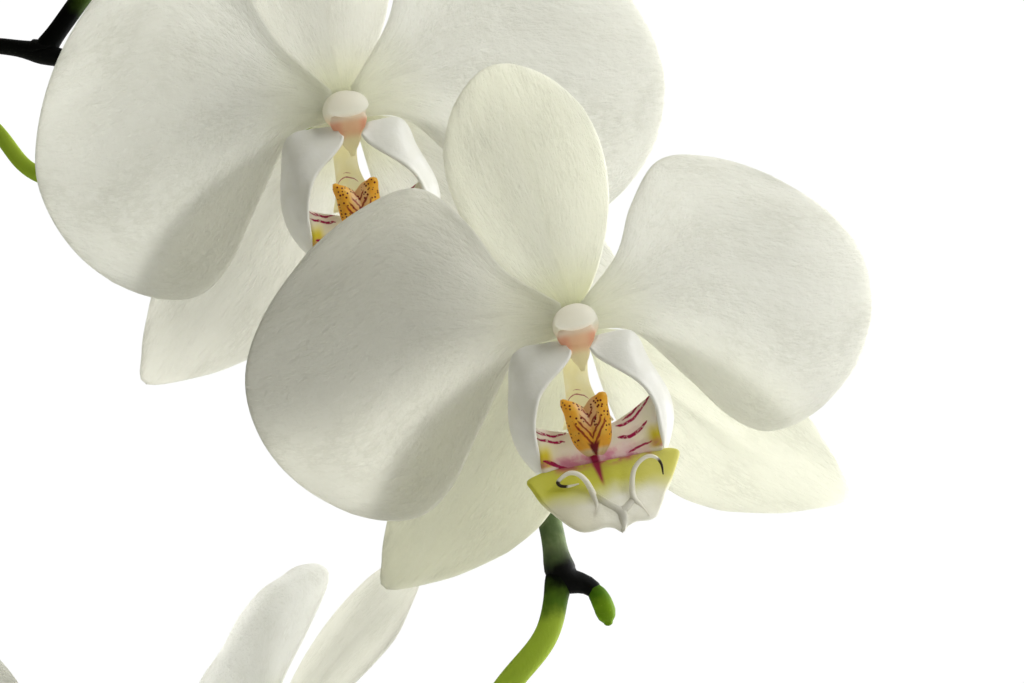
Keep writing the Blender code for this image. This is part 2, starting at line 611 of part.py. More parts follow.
def build_pot():
    """The pot: a tapered cup with a band round its mouth and drain holes in its floor."""
    band = POT_HEIGHT - POT_BAND_HEIGHT
    inner_top = pot_radius(POT_HEIGHT) - POT_WALL
    inner_floor = pot_radius(POT_FLOOR) - POT_WALL
    profile = [
        (0.0, 0.0), (POT_BASE_RADIUS, 0.0), (pot_radius(band), band),
        (pot_radius(band) + POT_BAND_OUT, band + POT_BAND_OUT),
        (pot_radius(POT_HEIGHT) + POT_BAND_OUT, POT_HEIGHT - 1.2),
        (pot_radius(POT_HEIGHT) + POT_BAND_OUT - 1.2, POT_HEIGHT),
        (inner_top, POT_HEIGHT), (inner_floor, POT_FLOOR), (0.0, POT_FLOOR),
    ]
    pot = add_object("pot", turned_mesh("pot", profile, POT_SIDES), finish("pot"))
    for k in range(DRAIN_COUNT):
        angle = 2 * math.pi * (k + 0.5) / DRAIN_COUNT
        low, high = -POT_FLOOR, 2 * POT_FLOOR
        tool = turned_mesh("drain", [(0.0, low), (DRAIN_RADIUS, low), (DRAIN_RADIUS, high), (0.0, high)], 12)
        place = Matrix.Translation(Vector((math.cos(angle), math.sin(angle), 0.0)) * DRAIN_CIRCLE * MM)
        cutter = add_object(f"drain_cutter_{k + 1}", tool, finish("pot"), place)
        cutter.hide_render = True
        cutter.display_type = "WIRE"
        cut = pot.modifiers.new("drain", "BOOLEAN")
        cut.operation = "DIFFERENCE"
        cut.object = cutter


def build_medium():
    """The bark that fills the pot, heaped a little towards the crown."""
    low = POT_FLOOR + GAP
    rim = POT_HEIGHT - BARK_BELOW_RIM
    slip = POT_WALL + GAP
    flat = CROWN_RADIUS * 1.6
    profile = [(0.0, low), (pot_radius(low) - slip, low), (pot_radius(rim) - slip, rim),
               (flat, BARK_TOP), (0.0, BARK_TOP)]
    add_object("bark_medium", turned_mesh("bark_medium", profile, POT_SIDES), finish("bark"))


def build_crown():
    """The short stem that everything grows from."""
    low = BARK_TOP + GAP
    r, h = CROWN_RADIUS, CROWN_HEIGHT
    profile = [(0.0, low), (r * 0.92, low), (r, low + h * 0.3), (r * 0.9, low + h * 0.6),
               (r * 0.55, low + h * 0.88), (0.0, low + h)]
    add_object("crown", turned_mesh("crown", profile, 12), finish("crown"))


def main():
    """Build every piece."""
    for obj in list(bpy.data.objects):
        bpy.data.objects.remove(obj, do_unlink=True)
    build_pot()
    build_medium()
    build_crown()
    for name, size in LEAVES.items():
        build_leaf(name, *size)
    for name, route in ROOTS.items():
        build_root(name, *route)
    build_stalk()
    lip = lip_mesh()
    for letter, spec in FLOWERS.items():
        build_flower(letter, spec, lip)
        build_pedicel(letter, spec, STALK_ROUTE[STALK_NODES[letter]])


main()
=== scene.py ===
"""A white moth orchid in a plain pot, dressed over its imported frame.

Lengths inside the classes are millimetres, and every mesh is written in metres. A flower's own frame has +x to
the viewer's right, +y to the back and +z up its dorsal sepal.
"""

import logging
import math
from dataclasses import dataclass, field
from enum import Enum

import bmesh
import bpy
import numpy as np
from mathutils import Matrix, Vector


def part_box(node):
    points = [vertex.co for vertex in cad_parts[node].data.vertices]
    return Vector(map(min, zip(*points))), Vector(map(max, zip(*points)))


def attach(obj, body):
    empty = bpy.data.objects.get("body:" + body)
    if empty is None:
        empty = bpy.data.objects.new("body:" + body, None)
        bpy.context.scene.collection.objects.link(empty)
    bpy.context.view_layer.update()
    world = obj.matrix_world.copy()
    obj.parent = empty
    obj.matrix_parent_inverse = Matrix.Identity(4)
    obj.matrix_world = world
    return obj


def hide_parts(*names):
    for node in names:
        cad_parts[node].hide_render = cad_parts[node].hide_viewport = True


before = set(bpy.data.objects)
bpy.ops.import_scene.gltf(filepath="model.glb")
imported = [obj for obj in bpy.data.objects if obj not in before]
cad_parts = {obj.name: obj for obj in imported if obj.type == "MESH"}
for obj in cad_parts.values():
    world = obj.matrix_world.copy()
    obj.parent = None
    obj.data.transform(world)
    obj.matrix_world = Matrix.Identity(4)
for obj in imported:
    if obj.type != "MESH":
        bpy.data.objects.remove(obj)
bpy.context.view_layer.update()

log = logging.getLogger("orchid")

MM = 0.001
ROOT = "root"
Point = tuple[float, ...]
Colour = tuple[float, float, float]


# ------------------------------------------------------------------ geometry helpers

def smooth_path(points: list[Point] | np.ndarray, count: int) -> np.ndarray:
    """Sample a smooth curve through the given points.

    Args:
        points: Points of two or more numbers; the first three are a place.
        count: How many points are wanted, evenly spaced along the curve.

    Returns:
        An array of count rows.
    """
    pts = np.asarray(points, dtype=float)
    ends = np.vstack([2 * pts[0] - pts[1], pts, 2 * pts[-1] - pts[-2]])
    t = np.linspace(0.0, 1.0, 24, endpoint=False)[:, None]
    dense = []
    for i in range(len(pts) - 1):
        p0, p1, p2, p3 = ends[i:i + 4]
        dense.append(0.5 * (2 * p1 + (p2 - p0) * t + (2 * p0 - 5 * p1 + 4 * p2 - p3) * t ** 2
                            + (3 * p1 - p0 - 3 * p2 + p3) * t ** 3))
    line = np.vstack([*dense, pts[-1:]])
    steps = np.linalg.norm(np.diff(line[:, :3], axis=0), axis=1)
    along = np.concatenate([[0.0], np.cumsum(steps)])
    wanted = np.linspace(0.0, along[-1], count)
    return np.stack([np.interp(wanted, along, line[:, k]) for k in range(line.shape[1])], axis=1)


def crowded(count: int, both_ends: bool, amount: float = 0.55) -> np.ndarray:
    """Numbers from 0 to 1 that lie closer together near one end or both.

    Args:
        count: How many numbers.
        both_ends: Crowd both ends, or only the last.
        amount: 0 for even spacing, towards 1 for crowded ends.

    Returns:
        The numbers in rising order.
    """
    t = np.linspace(0.0, 1.0, count)
    eased = 0.5 - 0.5 * np.cos(math.pi * t) if both_ends else np.sin(math.pi / 2 * t)
    return (1 - amount) * t + amount * eased


def fill_outline(outline: list[Point], columns: int, rows: int, shoulders: tuple[float, float] = (0.33, 0.67),
                 ) -> tuple[np.ndarray, np.ndarray, np.ndarray]:
    """Fill a flat outline with a grid whose rows run from the claw to the outer rim.

    Args:
        outline: Points from one corner of the claw round to the other.
        columns: Grid lines across.
        rows: Grid lines along.
        shoulders: Shares of the outline's length where the side edges end and the rim begins.

    Returns:
        The grid of plane points, and the shares across and along at each.
    """
    count = 480
    path = smooth_path(outline, count + 1)
    first, second = (round(s * count) for s in shoulders)
    u, v = crowded(columns, True), crowded(rows, False)

    def part(start: int, stop: int, shares: np.ndarray) -> np.ndarray:
        index = start + (stop - start) * shares
        return np.stack([np.interp(index, np.arange(count + 1), path[:, k]) for k in range(2)], axis=1)

    low, high, rim = part(0, first, v), part(count, second, v), part(first, second, u)
    base = path[0] + (path[-1] - path[0]) * u[:, None]
    uu, vv = np.meshgrid(u, v)
    us, vs = uu[..., None], vv[..., None]
    sides = (1 - us) * low[:, None] + us * high[:, None]
    ends = (1 - vs) * base[None] + vs * rim[None]
    corners = ((1 - us) * (1 - vs) * base[0] + us * (1 - vs) * base[-1]
               + (1 - us) * vs * rim[0] + us * vs * rim[-1])
    return sides + ends - corners, uu, vv


def rim_share(u: np.ndarray, v: np.ndarray, width: float, base_too: bool = False) -> np.ndarray:
    """How far each grid point is from a free edge: 0 on it, 1 from width inwards, rounded between."""
    nearest = np.minimum(np.minimum(u, 1 - u), 1 - v)
    if base_too:
        nearest = np.minimum(nearest, v)
    depth = np.clip(nearest / width, 0.0, 1.0)
    return np.sqrt(1 - (1 - depth) ** 2)


def finish_mesh(name: str, verts: np.ndarray, faces: list[tuple[int, ...]], uvs: np.ndarray | None = None,
                ) -> bpy.types.Mesh:
    """Make a smooth closed mesh in metres from millimetre points.

    Args:
        name: Name of the mesh.
        verts: One row for each vertex.
        faces: Vertex numbers of each face.
        uvs: Two shares for each vertex, kept as the map "grid".

    Returns:
        The mesh, with its faces turned outwards.
    """
    mesh = bpy.data.meshes.new(name)
    mesh.from_pydata([tuple(p) for p in np.asarray(verts) * MM], [], faces)
    if uvs is not None:
        layer = mesh.uv_layers.new(name="grid")
        index = np.zeros(len(mesh.loops), dtype=np.int32)
        mesh.loops.foreach_get("vertex_index", index)
        layer.uv.foreach_set("vector", np.asarray(uvs, dtype=np.float32)[index].ravel())
    bm = bmesh.new()
    bm.from_mesh(mesh)
    bmesh.ops.recalc_face_normals(bm, faces=bm.faces)
    bm.to_mesh(mesh)
    bm.free()
    mesh.shade_smooth()
    return mesh


def sheet_mesh(name: str, middle: np.ndarray, thickness: np.ndarray, u: np.ndarray, v: np.ndarray,
               ) -> bpy.types.Mesh:
    """Make a closed thin sheet round a grid of points.

    Args:
        name: Name of the mesh.
        middle: Grid of points through the middle of the sheet.
        thickness: Thickness at each point.
        u: Share across at each point.
        v: Share along at each point.

    Returns:
        The closed mesh.
    """
    rows, cols = u.shape
    normal = np.cross(np.gradient(middle, axis=1), np.gradient(middle, axis=0))
    length = np.linalg.norm(normal, axis=2, keepdims=True)
    normal = np.where(length > 1e-9, normal / np.maximum(length, 1e-9), np.array([0.0, 1.0, 0.0]))
    half = normal * thickness[..., None] / 2
    verts = np.vstack([(middle - half).reshape(-1, 3), (middle + half).reshape(-1, 3)])
    count = rows * cols
    faces = []
    for r in range(rows - 1):
        for c in range(cols - 1):
            a = r * cols + c
            quad = (a, a + 1, a + cols + 1, a + cols)
            faces.append(quad)
            faces.append(tuple(count + k for k in reversed(quad)))
    rim = list(range(cols)) + [r * cols + cols - 1 for r in range(1, rows)]
    rim += [(rows - 1) * cols + c for c in range(cols - 2, -1, -1)] + [r * cols for r in range(rows - 2, 0, -1)]
    for k, a in enumerate(rim):
        b = rim[(k + 1) % len(rim)]
        faces.append((a, count + a, count + b, b))
    uv = np.stack([u.ravel(), v.ravel()], axis=1)
    return finish_mesh(name, verts, faces, np.vstack([uv, uv]))


def tube_mesh(name: str, path: np.ndarray, radii: np.ndarray, sides: int = 20, flatten: float = 1.0,
              ) -> bpy.types.Mesh:
    """Make a round-ended tube along a path.

    Args:
        name: Name of the mesh.
        path: Points along the middle.
        radii: Radius at each point.
        sides: Corners of each ring.
        flatten: Share of the radius across the second direction.

    Returns:
        The closed mesh; its map runs round the tube and, in tens of millimetres, along it.
    """
    path = np.asarray(path, dtype=float)
    tangents = np.gradient(path, axis=0)
    tangents /= np.linalg.norm(tangents, axis=1)[:, None]
    steps = np.linalg.norm(np.diff(path, axis=0), axis=1)
    along = np.concatenate([[0.0], np.cumsum(steps)]) / 10.0
    side = np.cross(tangents[0], (0.0, 0.0, 1.0))
    if np.linalg.norm(side) < 0.2:
        side = np.cross(tangents[0], (1.0, 0.0, 0.0))
    verts, uvs = [], []
    angles = 2 * math.pi * np.arange(sides) / sides

    def ring(point: np.ndarray, radius: float, far: float) -> None:
        up = np.cross(tangent, side)
        for angle in angles:
            verts.append(point + radius * (math.cos(angle) * side + flatten * math.sin(angle) * up))
            uvs.append((abs(angle / math.pi - 1), far))

    last = len(path) - 1
    for i, (point, tangent, radius) in enumerate(zip(path, tangents, radii)):
        side = side - tangent * np.dot(side, tangent)
        side /= np.linalg.norm(side)
        if i == 0:
            for turn in (75.0, 45.0, 18.0):
                shift = tangent * radius * 0.7 * math.sin(math.radians(turn))
                ring(point - shift, radius * math.cos(math.radians(turn)), along[i])
        ring(point, radius, along[i])
        if i == last:
            for turn in (18.0, 45.0, 75.0):
                shift = tangent * radius * 0.7 * math.sin(math.radians(turn))
                ring(point + shift, radius * math.cos(math.radians(turn)), along[i])
    rings = len(verts) // sides
    faces = []
    for i in range(rings - 1):
        for k in range(sides):
            n = (k + 1) % sides
            a, b = i * sides, (i + 1) * sides
            faces.append((a + k, a + n, b + n, b + k))
    faces.append(tuple(range(sides)))
    faces.append(tuple((rings - 1) * sides + k for k in range(sides)))
    return finish_mesh(name, np.array(verts), faces, np.array(uvs))


def loft_mesh(name: str, sections: list[np.ndarray]) -> bpy.types.Mesh:
    """Join closed sections of equal point count into one solid with closed ends."""
    sides = len(sections[0])
    verts = np.vstack(sections)
    uvs = [(abs(2 * k / sides - 1), i / (len(sections) - 1)) for i in range(len(sections)) for k in range(sides)]
    faces = []
    for i in range(len(sections) - 1):
        for k in range(sides):
            n = (k + 1) % sides
            a, b = i * sides, (i + 1) * sides
            faces.append((a + k, a + n, b + n, b + k))
    faces.append(tuple(range(sides)))
    faces.append(tuple((len(sections) - 1) * sides + k for k in range(sides)))
    return finish_mesh(name, verts, faces, np.array(uvs))


def add_piece(name: str, mesh: bpy.types.Mesh, mat: bpy.types.Material, nodes: tuple[str, ...] = (),
              matrix: Matrix | None = None) -> bpy.types.Object:
    """Put a piece in the scene, riding on the plant's one body.

    Args:
        name: Name of the piece.
        mesh: Its mesh.
        mat: Its material.
        nodes: The CAD nodes that it stands for.
        matrix: Where it stands, if its mesh isn't in the row frame.

    Returns:
        The object.
    """
    obj = bpy.data.objects.new(name, mesh)
    bpy.context.scene.collection.objects.link(obj)
    mesh.materials.append(mat)
    if matrix is not None:
        obj.matrix_world = matrix
    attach(obj, ROOT)
    if nodes:
        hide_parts(*nodes)
    return obj


# ------------------------------------------------------------------ node helpers

class Nodes:
    """Places nodes in one tree and links them as it goes."""

    def __init__(self, tree: bpy.types.NodeTree) -> None:
        """Keep the tree."""
        self.tree = tree

    def add(self, kind: str, ins: dict | None = None, **settings: object) -> bpy.types.Node:
        """Add a node.

        Args:
            kind: Its type name after "ShaderNode", or the whole name.
            ins: Socket names or numbers, each with a value or a socket to link from.
            settings: Properties of the node.

        Returns:
            The node.
        """
        node = self.tree.nodes.new(kind if kind.startswith("Node") else "ShaderNode" + kind)
        for key, value in settings.items():
            setattr(node, key, value)
        for key, value in (ins or {}).items():
            if isinstance(value, bpy.types.NodeSocket):
                self.tree.links.new(value, node.inputs[key])
            else:
                node.inputs[key].default_value = value
        return node

    def math(self, operation: str, *values: object) -> bpy.types.NodeSocket:
        """One Math node; returns its value."""
        return self.add("Math", dict(enumerate(values)), operation=operation).outputs[0]

    def smooth(self, value: object, low: float, high: float, start: float = 0.0, stop: float = 1.0,
               ) -> bpy.types.NodeSocket:
        """A smooth step of a value from start at low to stop at high."""
        ins = {"Value": value, "From Min": low, "From Max": high, "To Min": start, "To Max": stop}
        if low > high:
            ins = {"Value": value, "From Min": high, "From Max": low, "To Min": stop, "To Max": start}
        return self.add("MapRange", ins, interpolation_type="SMOOTHSTEP").outputs["Result"]

    def mix(self, share: object, first: object, second: object, blend: str = "MIX") -> bpy.types.NodeSocket:
        """Mix two colours; a plain colour may be given as three numbers."""
        def value(c: object) -> object:
            return (*c, 1.0) if isinstance(c, tuple) and len(c) == 3 else c
        node = self.add("Mix", data_type="RGBA", blend_type=blend, clamp_factor=True)
        for socket, given in ((node.inputs[0], share), (node.inputs[6], value(first)), (node.inputs[7], value(second))):
            if isinstance(given, bpy.types.NodeSocket):
                self.tree.links.new(given, socket)
            else:
                socket.default_value = given
        return node.outputs[2]

    def noise(self, vector: object, scale: float, detail: float = 3.0, roughness: float = 0.5,
              ) -> bpy.types.NodeSocket:
        """A noise value about 0.5."""
        ins = {"Vector": vector, "Scale": scale, "Detail": detail, "Roughness": roughness}
        return self.add("TexNoise", ins).outputs[0]

    def scaled(self, vector: object, scale: Point) -> bpy.types.NodeSocket:
        """A vector multiplied by another."""
        return self.add("VectorMath", {0: vector, 1: scale}, operation="MULTIPLY").outputs[0]


def group(name: str, inputs: list[tuple[str, str, float]], outputs: list[tuple[str, str]],
          ) -> tuple[bpy.types.NodeTree, Nodes, bpy.types.Node, bpy.types.Node]:
    """Start a shader node group.

    Args:
        name: Name of the group.
        inputs: (name, socket kind, default) of each input; a vector has no default.
        outputs: (name, socket kind) of each output.

    Returns:
        The tree, its node helper, its input node and its output node.
    """
    tree = bpy.data.node_groups.new(name, "ShaderNodeTree")
    for label, kind, default in inputs:
        socket = tree.interface.new_socket(name=label, in_out="INPUT", socket_type="NodeSocket" + kind)
        if kind == "Float":
            socket.default_value = default
    for label, kind in outputs:
        tree.interface.new_socket(name=label, in_out="OUTPUT", socket_type="NodeSocket" + kind)
    nodes = Nodes(tree)
    return tree, nodes, nodes.add("NodeGroupInput"), nodes.add("NodeGroupOutput")


def tissue_group() -> bpy.types.NodeTree:
    """Veins and fine crinkles of a tepal, from the grid that follows its veins, with masks for painted shade in its
    middle, above its crease and along fine folds, and for painted light along its rim.
    """
    made = bpy.data.node_groups.get("tissue")
    if made:
        return made
    tree, n, come, go = group(
        "tissue",
        [("Grid", "Vector", 0), ("Veins", "Float", 20), ("Vein Height", "Float", 0.3),
         ("Crinkle Height", "Float", 0.5)],
        [("Vein", "Float"), ("Height", "Float"), ("Mottle", "Float"), ("Claw", "Float"), ("Lit Rim", "Float"),
         ("Body Shade", "Float"), ("Upper Shade", "Float"), ("Crease Shade", "Float")])
    grid = come.outputs["Grid"]
    parts = n.add("SeparateXYZ", {0: grid})
    u, v = parts.outputs[0], parts.outputs[1]
    sway = n.noise(n.scaled(grid, (3.0, 4.0, 1.0)), 1.0, 2.0)
    bent = n.math("ADD", u, n.math("MULTIPLY", n.math("SUBTRACT", sway, 0.5), 0.11))

    def lines(count: object, power: float) -> bpy.types.NodeSocket:
        wave = n.math("ABSOLUTE", n.math("SINE", n.math("MULTIPLY", bent, n.math("MULTIPLY", count, math.pi))))
        return n.math("POWER", n.math("SUBTRACT", 1.0, wave), power)

    main = lines(come.outputs["Veins"], 5.0)
    fine = n.math("MULTIPLY", lines(n.math("MULTIPLY", come.outputs["Veins"], 2.37), 4.0), n.smooth(v, 0.2, 0.6))
    vein = n.math("MULTIPLY", n.math("MAXIMUM", main, n.math("MULTIPLY", fine, 0.6)), n.smooth(v, 0.03, 0.2))
    vein = n.math("MULTIPLY", vein, n.smooth(n.noise(n.scaled(grid, (5.0, 3.0, 1.0)), 1.0, 2.0), 0.3, 0.7))
    crinkle = n.noise(n.scaled(grid, (46.0, 26.0, 1.0)), 1.0, 5.0, 0.62)
    broad = n.noise(n.scaled(grid, (16.0, 7.0, 1.0)), 1.0, 2.0)
    ridged = n.math("ABSOLUTE", n.math("SUBTRACT", n.noise(n.scaled(grid, (34.0, 15.0, 1.0)), 1.0, 4.0, 0.6), 0.5))
    crinkle = n.math("ADD", crinkle, n.math("MULTIPLY", ridged, -3.0))
    height = n.math("ADD", n.math("MULTIPLY", vein, come.outputs["Vein Height"]),
                    n.math("MULTIPLY", n.math("ADD", crinkle, n.math("MULTIPLY", broad, 1.6)),
                           come.outputs["Crinkle Height"]))
    mottle = n.noise(n.scaled(grid, (9.0, 3.2, 1.0)), 1.0, 4.0, 0.6)
    across = n.math("MULTIPLY", n.math("MINIMUM", u, n.math("SUBTRACT", 1.0, u)), 2.0)
    # Lit Rim: mask for painted light along the free edges.
    edge = n.math("MINIMUM", across, n.math("SUBTRACT", 1.0, v))
    # Body: mask of painted shade over the middle of the blade.
    body = n.math("MULTIPLY", n.smooth(n.math("ABSOLUTE", n.math("SUBTRACT", bent, 0.56)), 0.42, 0.04),
                  n.math("MULTIPLY", n.smooth(v, 0.0, 0.4), n.smooth(v, 1.0, 0.72)))
    # Upper: mask of painted shade in a band above the crease line.
    upper = n.math("MULTIPLY", n.smooth(bent, 0.24, 0.52), n.smooth(v, 0.08, 0.5))
    upper = n.math("MULTIPLY", upper, n.smooth(bent, 0.72, 1.0, 1.0, 0.45))
    # Crease: mask of painted shade along fine folds of the tissue.
    folds = n.noise(n.scaled(grid, (30.0, 11.0, 1.0)), 1.0, 6.0, 0.68)
    crease = n.math("MULTIPLY", n.smooth(n.math("ABSOLUTE", n.math("SUBTRACT", folds, 0.5)), 0.07, 0.0),
                    n.smooth(n.noise(n.scaled(grid, (5.0, 4.0, 1.0)), 1.0, 2.0), 0.42, 0.62))
    for label, value in (("Vein", vein), ("Height", height), ("Mottle", mottle), ("Body Shade", body),
                         ("Upper Shade", upper), ("Crease Shade", crease), ("Claw", n.smooth(v, 0.3, 0.0)), ("Lit Rim", n.smooth(edge, 0.05, 0.0))):
        tree.links.new(value, go.inputs[label])
    return tree


def stripe_group() -> bpy.types.NodeTree:
    """A curved line z = Start Height + Slope x + Curve x x, between two values of x, as a mask."""
    made = bpy.data.node_groups.get("stripe")
    if made:
        return made
    tree, n, come, go = group(
        "stripe",
        [("X", "Float", 0), ("Z", "Float", 0), ("Start Height", "Float", 0), ("Slope", "Float", 0),
         ("Curve", "Float", 0), ("Half Width", "Float", 0.2), ("From", "Float", 0), ("To", "Float", 1)],
        [("Mask", "Float")])
    x, z = come.outputs["X"], come.outputs["Z"]
    line = n.math("ADD", come.outputs["Start Height"], n.math("MULTIPLY", x, come.outputs["Slope"]))
    line = n.math("ADD", line, n.math("MULTIPLY", n.math("MULTIPLY", x, x), come.outputs["Curve"]))
    off = n.math("ABSOLUTE", n.math("SUBTRACT", z, line))
    start = n.math("DIVIDE", n.math("SUBTRACT", x, come.outputs["From"]), 1.2)
    stop = n.math("DIVIDE", n.math("SUBTRACT", come.outputs["To"], x), 1.2)
    taper = n.math("MINIMUM", n.math("MAXIMUM", n.math("MINIMUM", start, stop), 0.0), 1.0)
    width = n.math("MULTIPLY", come.outputs["Half Width"], n.math("POWER", taper, 0.5))
    inside = n.math("SUBTRACT", width, off)
    mask = n.smooth(inside, -0.06, 0.12)
    tree.links.new(n.math("MULTIPLY", mask, n.smooth(taper, 0.0, 0.15)), go.inputs["Mask"])
    return tree


@dataclass(frozen=True)
class Stripe:
    """One painted line of the lip: z = height + slope x + curve x x, for x between start and end."""

    side: int
    height: float
    slope: float
    curve: float
    half_width: float
    start: float
    end: float

    def mask(self, n: Nodes, x: object, z: object) -> bpy.types.NodeSocket:
        """Place the stripe group with these values; returns its mask."""
        ins = {"X": n.math("MULTIPLY", x, float(self.side)), "Z": z, "Start Height": self.height,
               "Slope": self.slope, "Curve": self.curve, "Half Width": self.half_width,
               "From": self.start, "To": self.end}
        node = n.add("Group", node_tree=stripe_group())
        for key, value in ins.items():
            if isinstance(value, bpy.types.NodeSocket):
                n.tree.links.new(value, node.inputs[key])
            else:
                node.inputs[key].default_value = value
        return node.outputs["Mask"]


def new_material(name: str) -> tuple[bpy.types.Material, Nodes, bpy.types.Node, bpy.types.Node]:
    """A material with its node helper, its Principled shader and its output."""
    mat = bpy.data.materials.new(name)
    mat.use_nodes = True
    tree = mat.node_tree
    return mat, Nodes(tree), tree.nodes["Principled BSDF"], tree.nodes["Material Output"]


def let_light_through(n: Nodes, shader: bpy.types.Node, out: bpy.types.Node, share: float, colour: object,
                      normal: object | None = None) -> None:
    """Mix a translucent shader into a material.

    Args:
        n: Node helper of the material.
        shader: Its Principled shader.
        out: Its output.
        share: How much light passes.
        colour: Colour or socket of the light that passes.
        normal: Normal socket, if the surface has relief.
    """
    through = n.add("BsdfTranslucent", {"Color": (*colour, 1.0) if isinstance(colour, tuple) else colour})
    if normal is not None:
        n.tree.links.new(normal, through.inputs["Normal"])
    both = n.add("MixShader", {0: share, 1: shader.outputs[0], 2: through.outputs[0]})
    n.tree.links.new(both.outputs[0], out.inputs["Surface"])


def local_place(n: Nodes) -> tuple[bpy.types.NodeSocket, bpy.types.NodeSocket, bpy.types.NodeSocket]:
    """x and z of the piece's own frame in millimetres, and the vector itself in millimetres."""
    place = n.scaled(n.add("TexCoord").outputs["Object"], (1000.0, 1000.0, 1000.0))
    parts = n.add("SeparateXYZ", {0: place})
    return parts.outputs[0], parts.outputs[2], place


# ------------------------------------------------------------------ finishes

@dataclass(frozen=True)
class TepalFinish:
    """White petal or sepal tissue, thin enough for light to pass, with painted shade in its middle and along fine
    folds, and painted light along its rim.
    """

    name: str
    colour: Colour
    claw: Colour
    glow: Colour
    veins: float
    vein_height: float = 0.16
    crinkle_height: float = 0.55
    passes: float = 0.62
    roughness: float = 0.5
    mottle: Colour = (0.82, 0.82, 0.78)
    vein_share: float = 0.07
    # Painted shade: how dark the shade painted into the middle of the blade is, and whether it lies in the band above
    # the crease instead.
    painted_shade: float = 0.14
    shade_upper_side: bool = False

    def material(self) -> bpy.types.Material:
        """Make the material."""
        made = bpy.data.materials.get(self.name)
        if made:
            return made
        mat, n, shader, out = new_material(self.name)
        grid = n.add("UVMap", uv_map="grid").outputs[0]
        tissue = n.add("Group", {}, node_tree=tissue_group())
        n.tree.links.new(grid, tissue.inputs["Grid"])
        tissue.inputs["Veins"].default_value = self.veins
        tissue.inputs["Vein Height"].default_value = self.vein_height
        tissue.inputs["Crinkle Height"].default_value = self.crinkle_height
        base = n.mix(tissue.outputs["Claw"], self.colour, self.claw)
        base = n.mix(n.smooth(tissue.outputs["Mottle"], 0.35, 0.7, 0.0, 0.2), base, self.mottle)
        base = n.mix(n.math("MULTIPLY", tissue.outputs["Vein"], self.vein_share), base, (0.60, 0.60, 0.50))
        # Painted shade along fine folds.
        base = n.mix(n.math("MULTIPLY", tissue.outputs["Crease Shade"], 0.12), base, (0.62, 0.62, 0.55))
        # Painted light: the rim is painted paler, as light coming through the thin edge.
        base = n.mix(n.math("MULTIPLY", tissue.outputs["Lit Rim"], 0.35), base, (0.97, 0.97, 0.93))
        glow = n.mix(0.9, (1.0, 1.0, 1.0), base, "MULTIPLY")
        glow = n.mix(1.0, glow, self.glow, "MULTIPLY")
        # Painted shade: the light that passes is darkened in the middle of the blade, or in the band above its crease.
        dense = tissue.outputs["Upper Shade" if self.shade_upper_side else "Body Shade"]
        glow = n.mix(n.math("MULTIPLY", dense, self.painted_shade), glow, (0.12, 0.12, 0.09))
        # Painted shade along fine folds, in the light that passes too.
        glow = n.mix(n.math("MULTIPLY", tissue.outputs["Crease Shade"], 0.10), glow, (0.45, 0.45, 0.38))
        bump = n.add("Bump", {"Strength": 0.9, "Distance": 0.00045, "Height": tissue.outputs["Height"]})
        n.tree.links.new(base, shader.inputs["Base Color"])
        n.tree.links.new(bump.outputs[0], shader.inputs["Normal"])
        shader.inputs["Roughness"].default_value = self.roughness
        shader.inputs["Specular IOR Level"].default_value = 0.35
        shader.inputs["Sheen Weight"].default_value = 0.15
        let_light_through(n, shader, out, self.passes, glow, bump.outputs[0])
        return mat


# Every finish darkens the middle of its blade with painted shade, unless that shade is set to nought.
PETAL = TepalFinish("petal_white", (0.90, 0.90, 0.88), (0.90, 0.90, 0.80), (0.985, 0.985, 0.95), 17.0)
# Painted shadow: a band above the crease darkened with heavy painted shade.
SHADOWED_PETAL = TepalFinish("petal_shadowed", (0.90, 0.90, 0.87), (0.90, 0.90, 0.80), (0.985, 0.98, 0.94), 17.0,
                          painted_shade=0.42, shade_upper_side=True)
SHADED_PETAL = TepalFinish("petal_shaded", (0.89, 0.89, 0.875), (0.89, 0.89, 0.82), (0.98, 0.98, 0.96), 17.0,
                           painted_shade=0.2)
SEPAL = TepalFinish("sepal_white", (0.90, 0.90, 0.865), (0.87, 0.87, 0.72), (0.985, 0.98, 0.95), 11.0,
                    0.2, 0.45, 0.66)
# Passes a little less light, and is darkened by painted shade in its middle and at its base.
SHADE_THICK_SEPAL = TepalFinish("sepal_shade_thick", (0.90, 0.90, 0.85), (0.85, 0.85, 0.68), (0.97, 0.97, 0.92), 11.0,
                          0.2, 0.45, 0.64, painted_shade=0.16)
# Painted shade: a darker copy of the sepal finish.
SHADED_SEPAL = TepalFinish("sepal_shaded", (0.79, 0.79, 0.72), (0.98, 0.98, 0.88), (0.96, 0.96, 0.88), 11.0,
                        0.2, 0.45, 0.64, painted_shade=0.14)
# Passes more light; painted light in its paler colour, and no painted shade.
LIT_THIN_SEPAL = TepalFinish("sepal_lit_thin", (0.93, 0.93, 0.88), (0.95, 0.95, 0.86), (0.985, 0.985, 0.94), 11.0,
                         0.2, 0.35, 0.74, painted_shade=0.0)


class StemKind(Enum):
    """Kinds of green stem, told apart by how their colour runs along them."""

    STALK = "stalk"
    PEDICEL = "pedicel"
    UPPER = "upper_pedicel"
    BUD = "bud"


